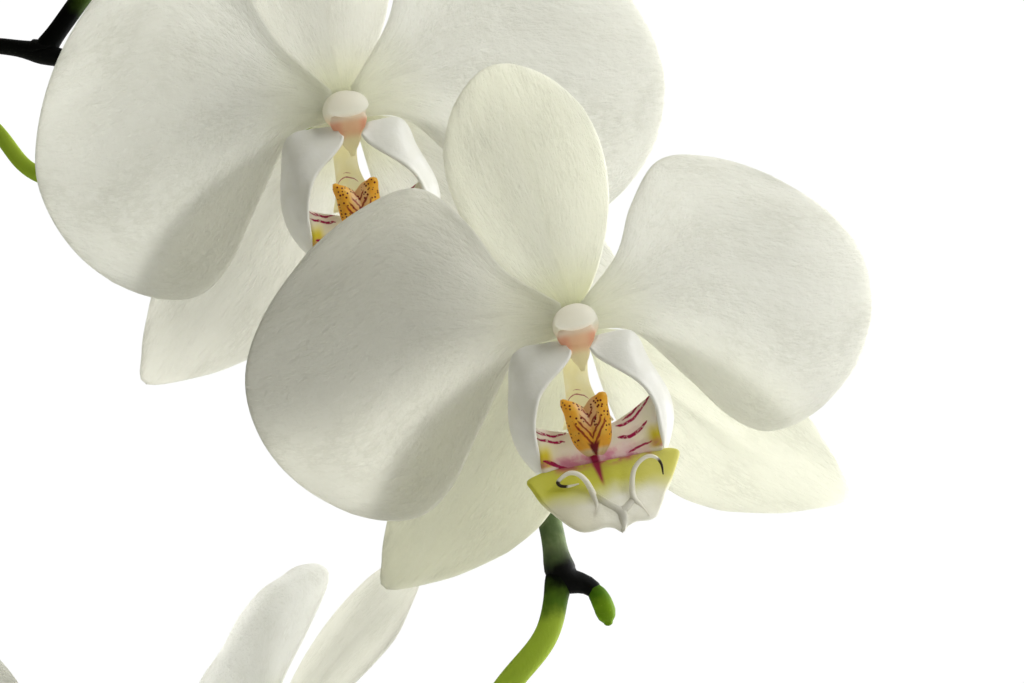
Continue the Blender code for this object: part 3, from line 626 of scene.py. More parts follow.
@dataclass(frozen=True)
class StemFinish:
    """Green stem skin: nearly black at a joint, then dark green, then its own green.

    The map's second number is the distance along the stem in tens of millimetres.
    """

    kind: StemKind
    dark: Colour
    green: Colour
    lime: Colour
    fade: tuple[float, float, float]

    def material(self, joints: tuple[tuple[float, float], ...] = ()) -> bpy.types.Material:
        """Make the material.

        Args:
            joints: Where it darkens, as (distance along the stem, reach), in tens of millimetres.

        Returns:
            The material.
        """
        name = f"{self.kind.value}_skin"
        made = bpy.data.materials.get(name)
        if made:
            return made
        mat, n, shader, out = new_material(name)
        parts = n.add("SeparateXYZ", {0: n.add("UVMap", uv_map="grid").outputs[0]})
        along = parts.outputs[1]
        place = n.scaled(n.add("TexCoord").outputs["Object"], (1000.0, 1000.0, 1000.0))
        blotch = n.noise(place, 0.35, 3.0)
        moved = n.math("ADD", along, n.math("MULTIPLY", n.math("SUBTRACT", blotch, 0.5), 0.5))
        if self.kind is StemKind.STALK:
            colour = n.mix(n.smooth(blotch, 0.35, 0.65), self.green, self.lime)
            for joint, reach in joints:
                near = n.math("ABSOLUTE", n.math("SUBTRACT", moved, joint))
                colour = n.mix(n.smooth(near, reach, reach * 0.35), colour, self.dark)
        else:
            first, second, third = self.fade
            colour = n.mix(n.smooth(moved, first, second), self.dark, self.green)
            colour = n.mix(n.smooth(moved, second, third), colour, self.lime)
            fleck = n.smooth(n.noise(place, 3.0, 2.0), 0.62, 0.75, 0.0, 0.25)
            colour = n.mix(n.math("MULTIPLY", fleck, n.smooth(moved, second, third)), colour, (0.55, 0.62, 0.12))
        bump = n.add("Bump", {"Strength": 0.4, "Distance": 0.0002,
                              "Height": n.noise(n.scaled(place, (2.0, 2.0, 0.6)), 1.0, 4.0)})
        n.tree.links.new(colour, shader.inputs["Base Color"])
        n.tree.links.new(bump.outputs[0], shader.inputs["Normal"])
        shader.inputs["Roughness"].default_value = 0.6
        shader.inputs["Specular IOR Level"].default_value = 0.07
        if self.kind is not StemKind.STALK:
            let_light_through(n, shader, out, 0.4, colour)
        return mat


STALK_GREEN = StemFinish(StemKind.STALK, (0.001, 0.0012, 0.001), (0.07, 0.105, 0.04), (0.12, 0.16, 0.07),
                         (0.0, 0.0, 0.0))
PEDICEL_GREEN = StemFinish(StemKind.PEDICEL, (0.001, 0.0015, 0.001), (0.09, 0.17, 0.015), (0.37, 0.48, 0.055),
                           (0.02, 0.48, 0.88))
LONG_DARK_GREEN = StemFinish(StemKind.UPPER, (0.001, 0.0015, 0.001), (0.05, 0.09, 0.01), (0.30, 0.40, 0.04),
                             (0.75, 1.3, 2.2))
BUD_GREEN = StemFinish(StemKind.BUD, (0.008, 0.016, 0.004), (0.075, 0.17, 0.006), (0.18, 0.31, 0.013),
                       (-0.3, 0.02, 0.35))


@dataclass(frozen=True)
class LipFinish:
    """White lip tissue with painted zones and lines, placed in the flower's own frame."""

    name: str
    stripes: tuple[Stripe, ...] = ()
    passes: float = 0.45

    @staticmethod
    def streak(n: Nodes, x: object, z: object, colour: object) -> object:
        """A magenta streak that runs down from the foot of the crest and tapers to nothing."""
        away = n.math("ABSOLUTE", n.math("ADD", n.math("ADD", x, 1.4),
                                         n.math("MULTIPLY", n.math("ADD", z, 22.0), 0.14)))
        width = n.smooth(z, -27.0, -22.4, 0.1, 0.62)
        mask = n.smooth(n.math("SUBTRACT", away, width), 0.42, -0.25)
        return n.mix(n.math("MULTIPLY", mask, n.smooth(z, -27.4, -25.8)), colour, (0.36, 0.03, 0.10))

    def base(self, n: Nodes, x: object, z: object, place: object) -> object:
        """Colour of the tissue before its lines; each kind has its own."""
        return n.mix(n.smooth(n.noise(place, 0.25, 3.0), 0.4, 0.7), (0.86, 0.86, 0.82), (0.90, 0.90, 0.88))

    def material(self) -> bpy.types.Material:
        """Make the material."""
        made = bpy.data.materials.get(self.name)
        if made:
            return made
        mat, n, shader, out = new_material(self.name)
        x, z, place = local_place(n)
        wobble = n.math("MULTIPLY", n.math("SUBTRACT", n.noise(place, 0.55, 2.0), 0.5), 0.7)
        moved = n.math("ADD", z, wobble)
        colour = self.base(n, x, z, place)
        for stripe in self.stripes:
            ragged = n.smooth(n.noise(place, 1.6, 2.0), 0.25, 0.5, 0.35, 1.0)
            mask = n.math("MULTIPLY", stripe.mask(n, x, moved), ragged)
            colour = n.mix(mask, colour, (0.36, 0.012, 0.09))
        bump = n.add("Bump", {"Strength": 0.5, "Distance": 0.00015, "Height": n.noise(place, 1.1, 5.0, 0.6)})
        n.tree.links.new(colour, shader.inputs["Base Color"])
        n.tree.links.new(bump.outputs[0], shader.inputs["Normal"])
        shader.inputs["Roughness"].default_value = 0.4
        shader.inputs["Specular IOR Level"].default_value = 0.4
        let_light_through(n, shader, out, self.passes, colour, bump.outputs[0])
        return mat


class ThroatFinish(LipFinish):
    """The inner wall of the lip: yellow at its outer feet, mottled magenta along its bottom."""

    def base(self, n: Nodes, x: object, z: object, place: object) -> object:
        """Cream with a yellow foot at each side, a magenta band below, and a painted highlight at each outer foot."""
        colour = n.mix(n.smooth(n.noise(place, 0.3, 3.0), 0.4, 0.7), (0.88, 0.86, 0.76), (0.90, 0.86, 0.82))
        out = n.math("ABSOLUTE", x)
        foot = n.math("MULTIPLY", n.smooth(out, 7.6, 9.0), n.smooth(z, -18.0, -20.6))
        colour = n.mix(foot, colour, (0.78, 0.70, 0.08))
        blush = n.smooth(n.noise(place, 0.45, 3.0), 0.42, 0.62)
        band = n.math("MULTIPLY", n.smooth(z, -20.3, -22.4), n.math("ADD", n.math("MULTIPLY", blush, 0.55), 0.2))
        colour = n.mix(band, colour, (0.62, 0.18, 0.36))
        # Painted highlight: a white patch at each outer foot, below the marks.
        painted_highlight = n.math("MULTIPLY", n.smooth(z, -22.2, -22.8), n.smooth(out, 7.4, 8.2))
        return self.streak(n, x, z, n.mix(painted_highlight, colour, (0.92, 0.90, 0.86)))


class MidlobeFinish(LipFinish):
    """The front plate of the lip: yellow-green above, white below, with a magenta streak down the middle."""

    def base(self, n: Nodes, x: object, z: object, place: object) -> object:
        """Yellow-green that fades down to white, with painted shade on its left and painted light on its right."""
        drift = n.math("ADD", z, n.math("MULTIPLY", n.math("SUBTRACT", n.noise(place, 0.18, 3.0), 0.5), 3.0))
        drift = n.math("ADD", drift, n.math("MULTIPLY", n.math("ABSOLUTE", x), 0.05))
        white = n.mix(n.smooth(n.noise(place, 0.25, 3.0), 0.4, 0.7), (0.84, 0.83, 0.76), (0.88, 0.87, 0.83))
        # Painted shade: the white darkens towards the left.
        white = n.mix(n.smooth(x, -1.5, -6.5, 0.0, 0.75), white, (0.66, 0.64, 0.52))
        # Painted light: the yellow is paler towards the right.
        yellow = n.mix(n.smooth(x, 1.0, 8.0, 0.0, 0.6), (0.62, 0.61, 0.11), (0.80, 0.77, 0.34))
        colour = n.mix(n.smooth(drift, -29.4, -25.8), white, yellow)
        blush = n.math("MULTIPLY", n.smooth(z, -24.4, -23.0), n.smooth(n.noise(place, 0.5, 3.0), 0.35, 0.6))
        colour = n.mix(n.math("MULTIPLY", blush, n.smooth(n.math("ABSOLUTE", x), 9.5, 6.5)), colour,
                       (0.55, 0.13, 0.22))
        return self.streak(n, x, z, colour)


class CallusFinish(LipFinish):
    """The orange crest: maroon dots above, maroon chevrons below, deep red at its foot."""

    def base(self, n: Nodes, x: object, z: object, place: object) -> object:
        """Orange with a pale pink middle and its marks."""
        mid = n.math("ADD", x, 0.95)
        out = n.math("ABSOLUTE", mid)
        colour = n.mix(n.smooth(n.noise(place, 0.6, 3.0), 0.35, 0.65), (0.90, 0.49, 0.045), (0.93, 0.60, 0.08))
        inner = n.math("MULTIPLY", n.smooth(out, 2.1, 0.8), n.smooth(z, -18.8, -15.6))
        colour = n.mix(n.math("MULTIPLY", inner, 0.8), colour, (0.92, 0.70, 0.45))
        colour = n.mix(n.smooth(z, -20.4, -21.3), colour, (0.86, 0.76, 0.50))
        dots = n.add("TexVoronoi", {"Vector": place, "Scale": 1.5, "Randomness": 0.85}, feature="F1")
        dot = n.smooth(dots.outputs["Distance"], 0.34, 0.24)
        zone = n.math("MAXIMUM", n.smooth(z, -18.0, -17.0), n.smooth(out, 1.7, 2.3))
        colour = n.mix(n.math("MULTIPLY", n.math("MULTIPLY", dot, zone), n.smooth(z, -20.4, -19.0)), colour,
                       (0.16, 0.012, 0.008))
        bent = n.math("ADD", z, n.math("MULTIPLY", n.math("SUBTRACT", n.noise(place, 0.9, 2.0), 0.5), 1.0))
        rise = n.math("SUBTRACT", bent, n.math("MULTIPLY", out, 1.55))
        for level, reach, half in ((-20.4, 2.8, 0.28), (-18.9, 2.2, 0.24), (-17.2, 1.6, 0.2), (-15.6, 1.1, 0.16)):
            away = n.math("ABSOLUTE", n.math("SUBTRACT", rise, level))
            mask = n.math("MULTIPLY", n.smooth(away, half + 0.2, half - 0.1), n.smooth(out, reach, reach - 0.5))
            colour = n.mix(n.math("MULTIPLY", mask, 0.9), colour, (0.30, 0.012, 0.012))
        spread = n.math("SUBTRACT", out, n.math("MULTIPLY", n.math("ADD", bent, 21.8), 0.42))
        foot = n.math("MULTIPLY", n.smooth(bent, -19.2, -20.4), n.smooth(spread, 0.45, 0.0))
        return n.mix(foot, colour, (0.20, 0.006, 0.012))


class ClawFinish(LipFinish):
    """The cream strap that joins the lip to the column."""

    def base(self, n: Nodes, x: object, z: object, place: object) -> object:
        """Cream, warmer towards its edges."""
        return n.mix(n.smooth(n.noise(place, 0.4, 3.0), 0.4, 0.7), (0.95, 0.91, 0.68), (0.96, 0.93, 0.76))


class CapFinish(LipFinish):
    """The column: white above, warm below."""

    def base(self, n: Nodes, x: object, z: object, place: object) -> object:
        """White cap over a cream body."""
        return n.mix(n.smooth(z, -2.4, -0.2), (0.93, 0.80, 0.67), (0.97, 0.97, 0.92))


class StigmaFinish(LipFinish):
    """The hollow under the anther cap: salmon, paling to a cream beak."""

    def base(self, n: Nodes, x: object, z: object, place: object) -> object:
        """Salmon above, cream below."""
        warm = n.mix(n.smooth(n.math("ABSOLUTE", x), 1.0, 2.4), (0.92, 0.72, 0.56), (0.88, 0.55, 0.41))
        warm = n.mix(n.smooth(z, -2.6, -1.3), warm, (0.94, 0.87, 0.78))
        return n.mix(n.smooth(z, -4.0, -5.6), warm, (0.92, 0.89, 0.70))


@dataclass(frozen=True)
class TendrilFinish(LipFinish):
    """Thin white whiskers with dry brown tips; the map runs along them in tens of millimetres."""

    dry_from: float = 1.2
    dry_to: float = 3.0

    def base(self, n: Nodes, x: object, z: object, place: object) -> object:
        """White, then brown over the dry part."""
        parts = n.add("SeparateXYZ", {0: n.add("UVMap", uv_map="grid").outputs[0]})
        ragged = n.math("ADD", parts.outputs[1], n.math("MULTIPLY", n.noise(place, 1.5, 2.0), 0.12))
        dry = n.math("MULTIPLY", n.smooth(ragged, self.dry_from, self.dry_from + 0.07),
                     n.smooth(ragged, self.dry_to + 0.07, self.dry_to))
        return n.mix(dry, (0.90, 0.88, 0.80), (0.028, 0.014, 0.006))


LOBE = LipFinish("lobe_white", passes=0.26)
THROAT = ThroatFinish("throat_cream", (
    Stripe(1, -15.85, -0.896, 0.131, 0.22, 4.2, 9.9), Stripe(1, -16.43, -0.918, 0.126, 0.27, 3.0, 10.2),
    Stripe(1, -16.83, -1.42, 0.155, 0.36, 2.9, 8.4), Stripe(-1, -12.62, -1.57, 0.121, 0.2, 4.9, 10.2),
    Stripe(-1, -16.4, -0.873, 0.0773, 0.26, 5.4, 10.3), Stripe(-1, -13.4, -1.45, 0.121, 0.15, 6.4, 9.6),
    Stripe(-1, -27.0, 0.59, 0.0, 0.42, 5.2, 9.8), Stripe(1, -23.9, 0.3, 0.0, 0.22, 4.2, 8.6)), 0.66)
MIDLOBE = MidlobeFinish("midlobe_yellow", passes=0.5)
CALLUS = CallusFinish("callus_orange", passes=0.42)
CLAW = ClawFinish("claw_cream", (Stripe(1, -13.3, -1.45, -0.33, 0.15, -4.0, -0.2),
                                 Stripe(1, -12.27, -1.32, -0.33, 0.1, -2.7, -1.2)), 0.72)
CAP = CapFinish("cap_white", passes=0.74)
STIGMA = StigmaFinish("stigma_salmon", passes=0.6)
LEFT_TENDRIL = TendrilFinish("tendril_left", (), 0.35, 1.25, 1.46)
RIGHT_TENDRIL = TendrilFinish("tendril_right", (), 0.35, 1.42)


# ------------------------------------------------------------------ flowers

@dataclass(frozen=True)
class FlowerPlan:
    """How one flower stands on the stalk; its middle comes from the frame."""

    letter: str
    turn: float
    nod: float
    roll: float
    size: float
    petals: tuple[float, float]
    laterals: float
    lean: float
    stem: float
    joint: int
    via: tuple[Point, ...]
    upper: tuple[float, float] = (1.0, 1.0)
    lower: tuple[float, float] = (1.0, 1.0)
    face: tuple[float, float] = (0.0, 0.0)

    def facing(self, matrix: Matrix) -> Matrix:
        """Where the lip and column stand, when they are turned a little in the flower."""
        turn, nod = (math.radians(a) for a in self.face)
        return matrix @ Matrix.Rotation(turn, 4, "Z") @ Matrix.Rotation(nod, 4, "X")

    def rotation(self) -> Matrix:
        """How the flower is turned."""
        return (Matrix.Rotation(math.radians(self.turn), 4, "Z") @ Matrix.Rotation(math.radians(self.nod), 4, "X")
                @ Matrix.Rotation(math.radians(-self.roll), 4, "Y"))

    def matrix(self) -> Matrix:
        """Where the flower stands, found from the column in the frame.

        Returns:
            Rotation and place, in metres.
        """
        turn = self.rotation()
        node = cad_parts[f"flower_{self.letter}_column"]
        own = np.array([turn.inverted() @ v.co for v in node.data.vertices])
        low, high = own.min(0), own.max(0)
        middle = Vector(((low[0] + high[0]) / 2, high[1] + COLUMN_STANDS_OFF * self.size * MM,
                         (low[2] + high[2]) / 2))
        return Matrix.Translation(turn @ middle) @ turn


COLUMN_STANDS_OFF = 0.8     # from the middle of the petals to the root of the column in the frame
FLOWERS = (
    FlowerPlan("a", 0, 0, 11, 1.0, (1.0, 0.89), 1.0, 7.4, 1.9, 13, ((0, 30, -8), (8, 14, 1))),
    FlowerPlan("b", 0, 0, 10, 1.02, (0.97, 0.99), 1.08, 2, 1.55, 8,
               ((-96.5, 79, 39.5), (-85.8, 72, 30.2), (-58, 56, 27), (-34, 48, 38)), (1.33, 1.24), (1.05, 1.0), (6.0, 5.0)),
    FlowerPlan("c", -67, -27.5, -24, 1.0, (1.0, 1.0), 1.0, 0, 2.35, 15,
               ((6.0, 31, -51.2), (-0.4, 29.5, -59.4), (-10, 30, -71.5), (-24, 31, -79))),
    FlowerPlan("d", -8, 6, -4, 0.98, (1.0, 1.0), 1.0, 0, 1.9, 5, ((-154, 76, -38), (-145, 58, -54))),
    FlowerPlan("e", 4, -4, 5, 0.98, (1.0, 1.0), 1.0, 0, 2.0, 9,
               ((-80.5, 80, 64.5), (-68, 88, 84), (-61, 86, 102))),
)
FLOWER_A_IN_GROUP = (10.5, 0.0, 3.2)
# Flowers a and c take the lit and shaded copies of the tepal finishes.
TEPAL_FINISHES = {
    "a": (SHADOWED_PETAL, PETAL, SHADE_THICK_SEPAL, SHADED_SEPAL, LIT_THIN_SEPAL),
    "c": (SHADED_PETAL, PETAL, SEPAL, LIT_THIN_SEPAL, LIT_THIN_SEPAL)}


@dataclass
class Tepals:
    """The two petals and three sepals of a flower, as thin veined sheets."""

    plan: FlowerPlan
    matrix: Matrix
    flare: float = 3.0
    reach: float = 50.0
    sepal_layer: float = 1.65
    body: float = 0.85
    rim: float = 0.22
    petal_outline: tuple[Point, ...] = (
        (1.6, -1.8), (10.3, -3.8), (18.5, -13.9), (25.5, -23.2), (32.4, -27.1), (41.5, -25.0), (50.2, -18.2),
        (55.4, -9.0), (56.0, 1.5), (50.6, 11.5), (40.6, 20.6), (30.0, 26.0), (21.0, 26.8), (14.4, 19.5),
        (10.0, 11.0), (1.8, 3.6))
    dorsal_half: tuple[Point, ...] = (
        (0.0, 2.2), (6.0, 7.0), (13.5, 11.0), (22.0, 13.1), (30.0, 12.6), (37.0, 9.2), (41.4, 4.4), (42.8, 0.0))
    dorsal_base: Point = (0.0, 2.6)
    lateral_base: Point = (2.6, -2.8)
    lateral_angle: float = -43.4
    lateral_lower: tuple[Point, ...] = (
        (0.0, 1.6), (8.0, 8.0), (18.0, 13.9), (26.0, 15.0), (33.0, 13.4), (39.5, 10.2), (45.0, 6.4), (51.2, 0.0))
    lateral_upper: tuple[Point, ...] = (
        (0.0, 1.6), (8.0, 5.6), (18.0, 9.0), (28.0, 10.0), (36.0, 8.6), (43.0, 5.8), (47.5, 3.4), (51.2, 0.0))

    def bent_back(self, xz: np.ndarray) -> np.ndarray:
        """How far the flower bends back at places in its plane."""
        return self.flare * (xz ** 2).sum(-1) / self.reach ** 2

    def petal(self, side: int, size: float) -> bpy.types.Mesh:
        """One petal: a wide blade with a crease along its middle, a soft fold and a gently ruffled rim.

        Args:
            side: +1 for the right-hand petal, -1 for the left.
            size: Share of the full size.

        Returns:
            The petal's mesh.
        """
        upper, lower = (pair[0 if side < 0 else 1] for pair in (self.plan.upper, self.plan.lower))
        outline = [(side * x * size, z * size * (upper if z > 5 else lower if z < -10 else 1.0))
                   for x, z in self.petal_outline]
        xz, u, v = fill_outline(outline, 48, 46)
        phase = ord(self.plan.letter) * 1.7 + side
        near_rim = np.clip((v - 0.45) / 0.55, 0, 1) ** 2 + 0.5 * np.clip((np.abs(u - 0.5) - 0.3) / 0.2, 0, 1) ** 2 * v
        ruffle = 0.32 * near_rim * (np.sin(9.5 * u + phase) + 0.6 * np.sin(17.0 * u + 5 * v + 2 * phase)
                                    + 0.35 * np.sin(31.0 * u + 3 * v + phase))
        crease = 0.55 * np.exp(-((u - 0.53) / 0.014) ** 2) * np.clip((v - 0.06) * 5, 0, 1) * np.clip((0.96 - v) * 4, 0, 1)
        fold = -1.7 * np.sin(math.pi * np.clip(v, 0, 1)) * np.sin(2 * math.pi * (u - 0.04)) * np.clip(v * 2, 0, 1)
        billow = -1.5 * np.sin(math.pi * v) ** 2 * np.sin(math.pi * u) ** 2
        y = self.bent_back(xz) + ruffle + crease + fold * (0.55 if side > 0 else -0.35) + billow
        middle = np.stack([xz[..., 0], y, xz[..., 1]], axis=-1)
        share = rim_share(u, v, 0.05)
        thickness = (self.rim + (self.body - self.rim) * share) * (1.12 - 0.45 * v)
        return sheet_mesh("petal", middle, thickness, u, v)

    def sepal(self, outline: list[Point], bend: float, seed: float) -> bpy.types.Mesh:
        """One sepal: a narrower blade with a keel along its back and a hooded tip."""
        xz, u, v = fill_outline(outline, 40, 42)
        keel = 0.5 * np.exp(-((u - 0.5) / 0.05) ** 2) * np.clip(v * 5, 0, 1) * np.clip((1 - v) * 4, 0, 1)
        cup = -1.0 * (2 * np.abs(u - 0.5)) ** 2 * np.sin(math.pi * np.clip(v, 0, 1))
        ruffle = 0.22 * v ** 2 * np.sin(11 * u + seed) + 0.14 * v * np.sin(23 * u + 6 * v + seed)
        y = self.bent_back(xz) + self.sepal_layer + bend * v ** 2 + keel + cup * 0.6 + ruffle * 0.6
        middle = np.stack([xz[..., 0], y, xz[..., 1]], axis=-1)
        share = rim_share(u, v, 0.06)
        return sheet_mesh("sepal", middle, (self.rim + (self.body - self.rim) * share) * (1.1 - 0.35 * v), u, v)

    def dorsal(self) -> bpy.types.Mesh:
        """The upper sepal, leaning by the plan's angle."""
        base, lean = np.array(self.dorsal_base), math.radians(self.plan.lean)
        half = [(w, a) for a, w in self.dorsal_half]
        points = half + [(-w, a) for w, a in reversed(half[:-1])]
        turned = [(base[0] + x * math.cos(lean) - z * math.sin(lean), base[1] + x * math.sin(lean)
                   + z * math.cos(lean)) for x, z in points]
        return self.sepal(turned, 1.2, 1.0)

    def lateral(self, side: int) -> bpy.types.Mesh:
        """A lower sepal; side is +1 for the right-hand one."""
        a = math.radians(self.lateral_angle)
        along, across = np.array([math.cos(a), math.sin(a)]), np.array([math.sin(a), -math.cos(a)])
        base, size = np.array(self.lateral_base), self.plan.laterals
        points = [base + size * (s * along + w * across) for s, w in self.lateral_lower]
        points += [base + size * (s * along - w * across) for s, w in reversed(self.lateral_upper[:-1])]
        return self.sepal([(side * p[0], p[1]) for p in points], 1.6, 2.0 + side)

    def build(self) -> None:
        """Make the five tepals."""
        name = f"flower_{self.plan.letter}_"
        left, right = self.plan.petals
        finishes = TEPAL_FINISHES.get(self.plan.letter, (PETAL, PETAL, SEPAL, SEPAL, SEPAL))
        meshes = (self.petal(-1, left), self.petal(1, right), self.dorsal(), self.lateral(-1), self.lateral(1))
        parts = ("petal_left", "petal_right", "dorsal_sepal", "lateral_sepal_left", "lateral_sepal_right")
        made = {part: (mesh, finish) for part, mesh, finish in zip(parts, meshes, finishes)}
        for part, (mesh, finish) in made.items():
            mesh.transform(Matrix.Scale(self.plan.size, 4))
            add_piece(name + part + "_blade", mesh, finish.material(), (name + part,), self.matrix)


@dataclass
class Lip:
    """The lip of a flower: strap, throat, front plate, two side lobes, crest, keel and two whiskers."""

    plan: FlowerPlan
    matrix: Matrix
    lobe_edges: dict[int, tuple[tuple[Point, ...], tuple[Point, ...]]] = field(default_factory=lambda: {
        -1: (((-10.0, -24.1), (-11.8, -21.8), (-13.3, -18.7), (-13.8, -15.0), (-13.4, -11.5), (-12.7, -8.3),
              (-12.1, -5.1), (-11.0, -3.3), (-9.2, -2.45), (-6.7, -2.5), (-4.2, -2.6), (-2.6, -3.0)),
             ((-9.8, -24.1), (-9.9, -21.5), (-9.95, -18.7), (-9.8, -16.5), (-9.2, -13.9), (-7.9, -11.1),
              (-6.0, -9.0), (-3.7, -7.2), (-2.1, -5.6), (-1.8, -4.4))),
        1: (((9.6, -24.3), (10.9, -22.3), (12.0, -20.0), (12.7, -17.6), (12.6, -14.3), (11.5, -11.0),
             (10.3, -7.7), (9.7, -4.8), (8.7, -3.2), (6.9, -2.7), (4.9, -2.8), (2.9, -2.9)),
            ((9.4, -24.2), (9.9, -21.5), (9.9, -18.2), (9.8, -15.9), (9.0, -13.3), (7.7, -11.4),
             (5.8, -9.6), (3.7, -7.8), (2.1, -6.2), (1.4, -4.6)))})
    plate_outline: tuple[Point, ...] = (
        (-9.2, -23.3), (-11.2, -23.5), (-12.9, -24.1), (-12.5, -25.2), (-10.5, -28.9), (-8.2, -31.6),
        (-6.5, -33.0), (-5.2, -33.6), (-3.6, -33.65), (-1.9, -33.4), (-0.4, -33.8), (0.8, -34.8), (1.6, -34.0),
        (3.3, -33.4), (5.5, -33.6), (6.8, -33.1), (8.2, -31.2), (9.1, -29.6), (10.6, -27.5), (12.1, -24.9),
        (12.4, -23.8), (11.2, -23.3), (9.4, -23.3))
    left_whisker: tuple[Point, ...] = (
        (-3.1, -31.6), (-2.5, -29.8), (-2.75, -27.8), (-3.45, -25.7), (-4.6, -24.3), (-6.1, -23.95),
        (-7.9, -24.9), (-7.6, -25.7), (-6.3, -26.0), (-4.7, -25.9))
    right_whisker: tuple[Point, ...] = (
        (5.5, -33.0), (4.4, -31.1), (3.6, -29.8), (3.75, -27.7), (4.4, -25.6), (5.5, -24.3),
        (7.1, -23.6), (8.35, -24.0), (9.05, -25.2), (9.05, -26.9))

    @staticmethod
    def plate_depth(x: np.ndarray | float, z: np.ndarray | float) -> np.ndarray:
        """Where the front plate lies from front to back, at a place in the flower's plane."""
        down = np.clip((-23.3 - np.asarray(z, dtype=float)) / 11.5, 0.0, 1.0)
        return -11.6 - 9.4 * down ** 0.85 - 1.6 * (np.asarray(x, dtype=float) / 12.0) ** 2 * (1 - down)

    def lobe(self, side: int) -> bpy.types.Mesh:
        """One upright side lobe, a crescent blade; side is +1 for the right-hand one."""
        outer, inner = (smooth_path(edge, 40) for edge in self.lobe_edges[side])
        back = np.interp(outer[:, 1], (-24, -18, -10, -3), (-10.5, -8.9, -6.9, -7.6))
        front = np.interp(inner[:, 1], (-24, -18, -12, -5), (-12.4, -14.0, -13.6, -10.6))
        first = np.stack([outer[:, 0], back, outer[:, 1]], axis=1)
        last = np.stack([inner[:, 0], front, inner[:, 1]], axis=1)
        u, v = np.meshgrid(crowded(16, True), np.linspace(0, 1, 40))
        middle = first[:, None] + (last - first)[:, None] * u[..., None]
        bulge = 1.1 * np.sin(math.pi * u) * np.sin(math.pi * np.clip(v, 0, 1))
        middle[..., 1] -= bulge
        middle[..., 0] += side * 0.5 * bulge
        curl = np.clip((u - 0.82) / 0.18, 0, 1) ** 2 * np.sin(math.pi * v)
        middle[..., 1] -= 0.5 * curl
        middle[..., 0] += side * 0.35 * curl
        thickness = 0.3 + 0.62 * rim_share(u, v, 0.16, True)
        return sheet_mesh("lobe", middle, thickness, u, v)

    def throat(self) -> bpy.types.Mesh:
        """The concave wall between the side lobes, behind the crest."""
        u, v = np.meshgrid(np.linspace(0, 1, 44), np.linspace(0, 1, 18))
        w = 2 * u - 1
        low = -23.6 + 0.5 * np.cos(math.pi * w)
        high = -18.2 + 3.4 * np.abs(w) ** 1.7 + 0.9 * w
        z = low + (high - low) * v
        x = 10.1 * w * (1 - 0.03 * v) - 0.1
        y = -11.9 + (4.2 - 5.0 * w ** 2) * v ** 0.9 - 1.2 * w ** 2
        middle = np.stack([x, y, z], axis=-1)
        return sheet_mesh("throat", middle, 0.35 + 0.5 * rim_share(u, v, 0.06, True), u, v)

    def plate(self) -> bpy.types.Mesh:
        """The front plate: an anchor-shaped blade with a wavy lower edge."""
        xz, u, v = fill_outline(list(self.plate_outline), 52, 30, (0.17, 0.83))
        x, z = xz[..., 0], xz[..., 1]
        y = self.plate_depth(x, z)
        y = y + 0.35 * np.sin(1.15 * x + 0.4) * np.clip(v * 1.6 - 0.6, 0, 1) - 0.5 * np.exp(-((x - 0.5) / 1.2) ** 2)
        middle = np.stack([x, y, z], axis=-1)
        return sheet_mesh("plate", middle, 0.4 + 0.7 * rim_share(u, v, 0.07, True), u, v)

    def strap(self) -> bpy.types.Mesh:
        """The claw that joins the lip to the column."""
        stations = smooth_path([(-0.8, -2.4, -4.8, 2.1), (-1.5, -4.2, -7.6, 1.95), (-1.7, -5.4, -10.4, 2.0),
                                (-1.5, -7.0, -13.4, 2.6), (-1.2, -8.6, -17.0, 4.2)], 20)
        u, v = np.meshgrid(crowded(13, True), np.linspace(0, 1, 20))
        w = 2 * u - 1
        middle = np.stack([stations[:, :1] + w * stations[:, 3:], stations[:, 1:2] - 0.9 * (1 - w ** 2),
                           stations[:, 2:3] + 0 * w], axis=-1)
        return sheet_mesh("strap", middle, 0.4 + 0.6 * rim_share(u, v, 0.2, True), u, v)

    def crest(self) -> bpy.types.Mesh:
        """The fleshy shield in the throat, with a horn at each upper corner."""
        left = smooth_path([(-1.7, -21.7), (-2.9, -20.9), (-3.9, -19.4), (-4.4, -17.2), (-4.6, -14.8),
                            (-5.1, -13.2), (-5.0, -12.4)], 30)
        right = smooth_path([(-0.5, -21.8), (0.6, -21.2), (1.7, -19.6), (2.2, -17.0), (2.3, -14.4),
                             (2.5, -12.9), (2.1, -12.4)], 30)
        u, v = np.meshgrid(crowded(27, True, 0.3), np.linspace(0, 1, 30))
        xz = left[:, None] + (right - left)[:, None] * u[..., None]
        dip = 1.7 * np.exp(-((u - 0.47) / 0.17) ** 2) * np.clip((v - 0.62) / 0.38, 0, 1) ** 1.2
        horn = 0.45 * (np.exp(-((u - 0.06) / 0.08) ** 2) + np.exp(-((u - 0.92) / 0.08) ** 2)) * v ** 3
        z = xz[..., 1] - dip + horn
        w = 2 * u - 1
        swell = (1 - w ** 2) ** 0.5
        hollow = 1.5 * np.exp(-(w / 0.45) ** 2) * np.clip(v * 1.5 - 0.2, 0, 1)
        y = -11.7 - 1.6 * swell * np.sin(math.pi * np.clip(v * 0.8 + 0.16, 0, 1)) + hollow - 0.9 * v ** 2
        y = y - 0.14 * np.sin(9 * w) * np.sin(8 * v)
        middle = np.stack([xz[..., 0], y, z], axis=-1)
        return sheet_mesh("crest", middle, 0.5 + 1.3 * rim_share(u, v, 0.22, True), u, v)

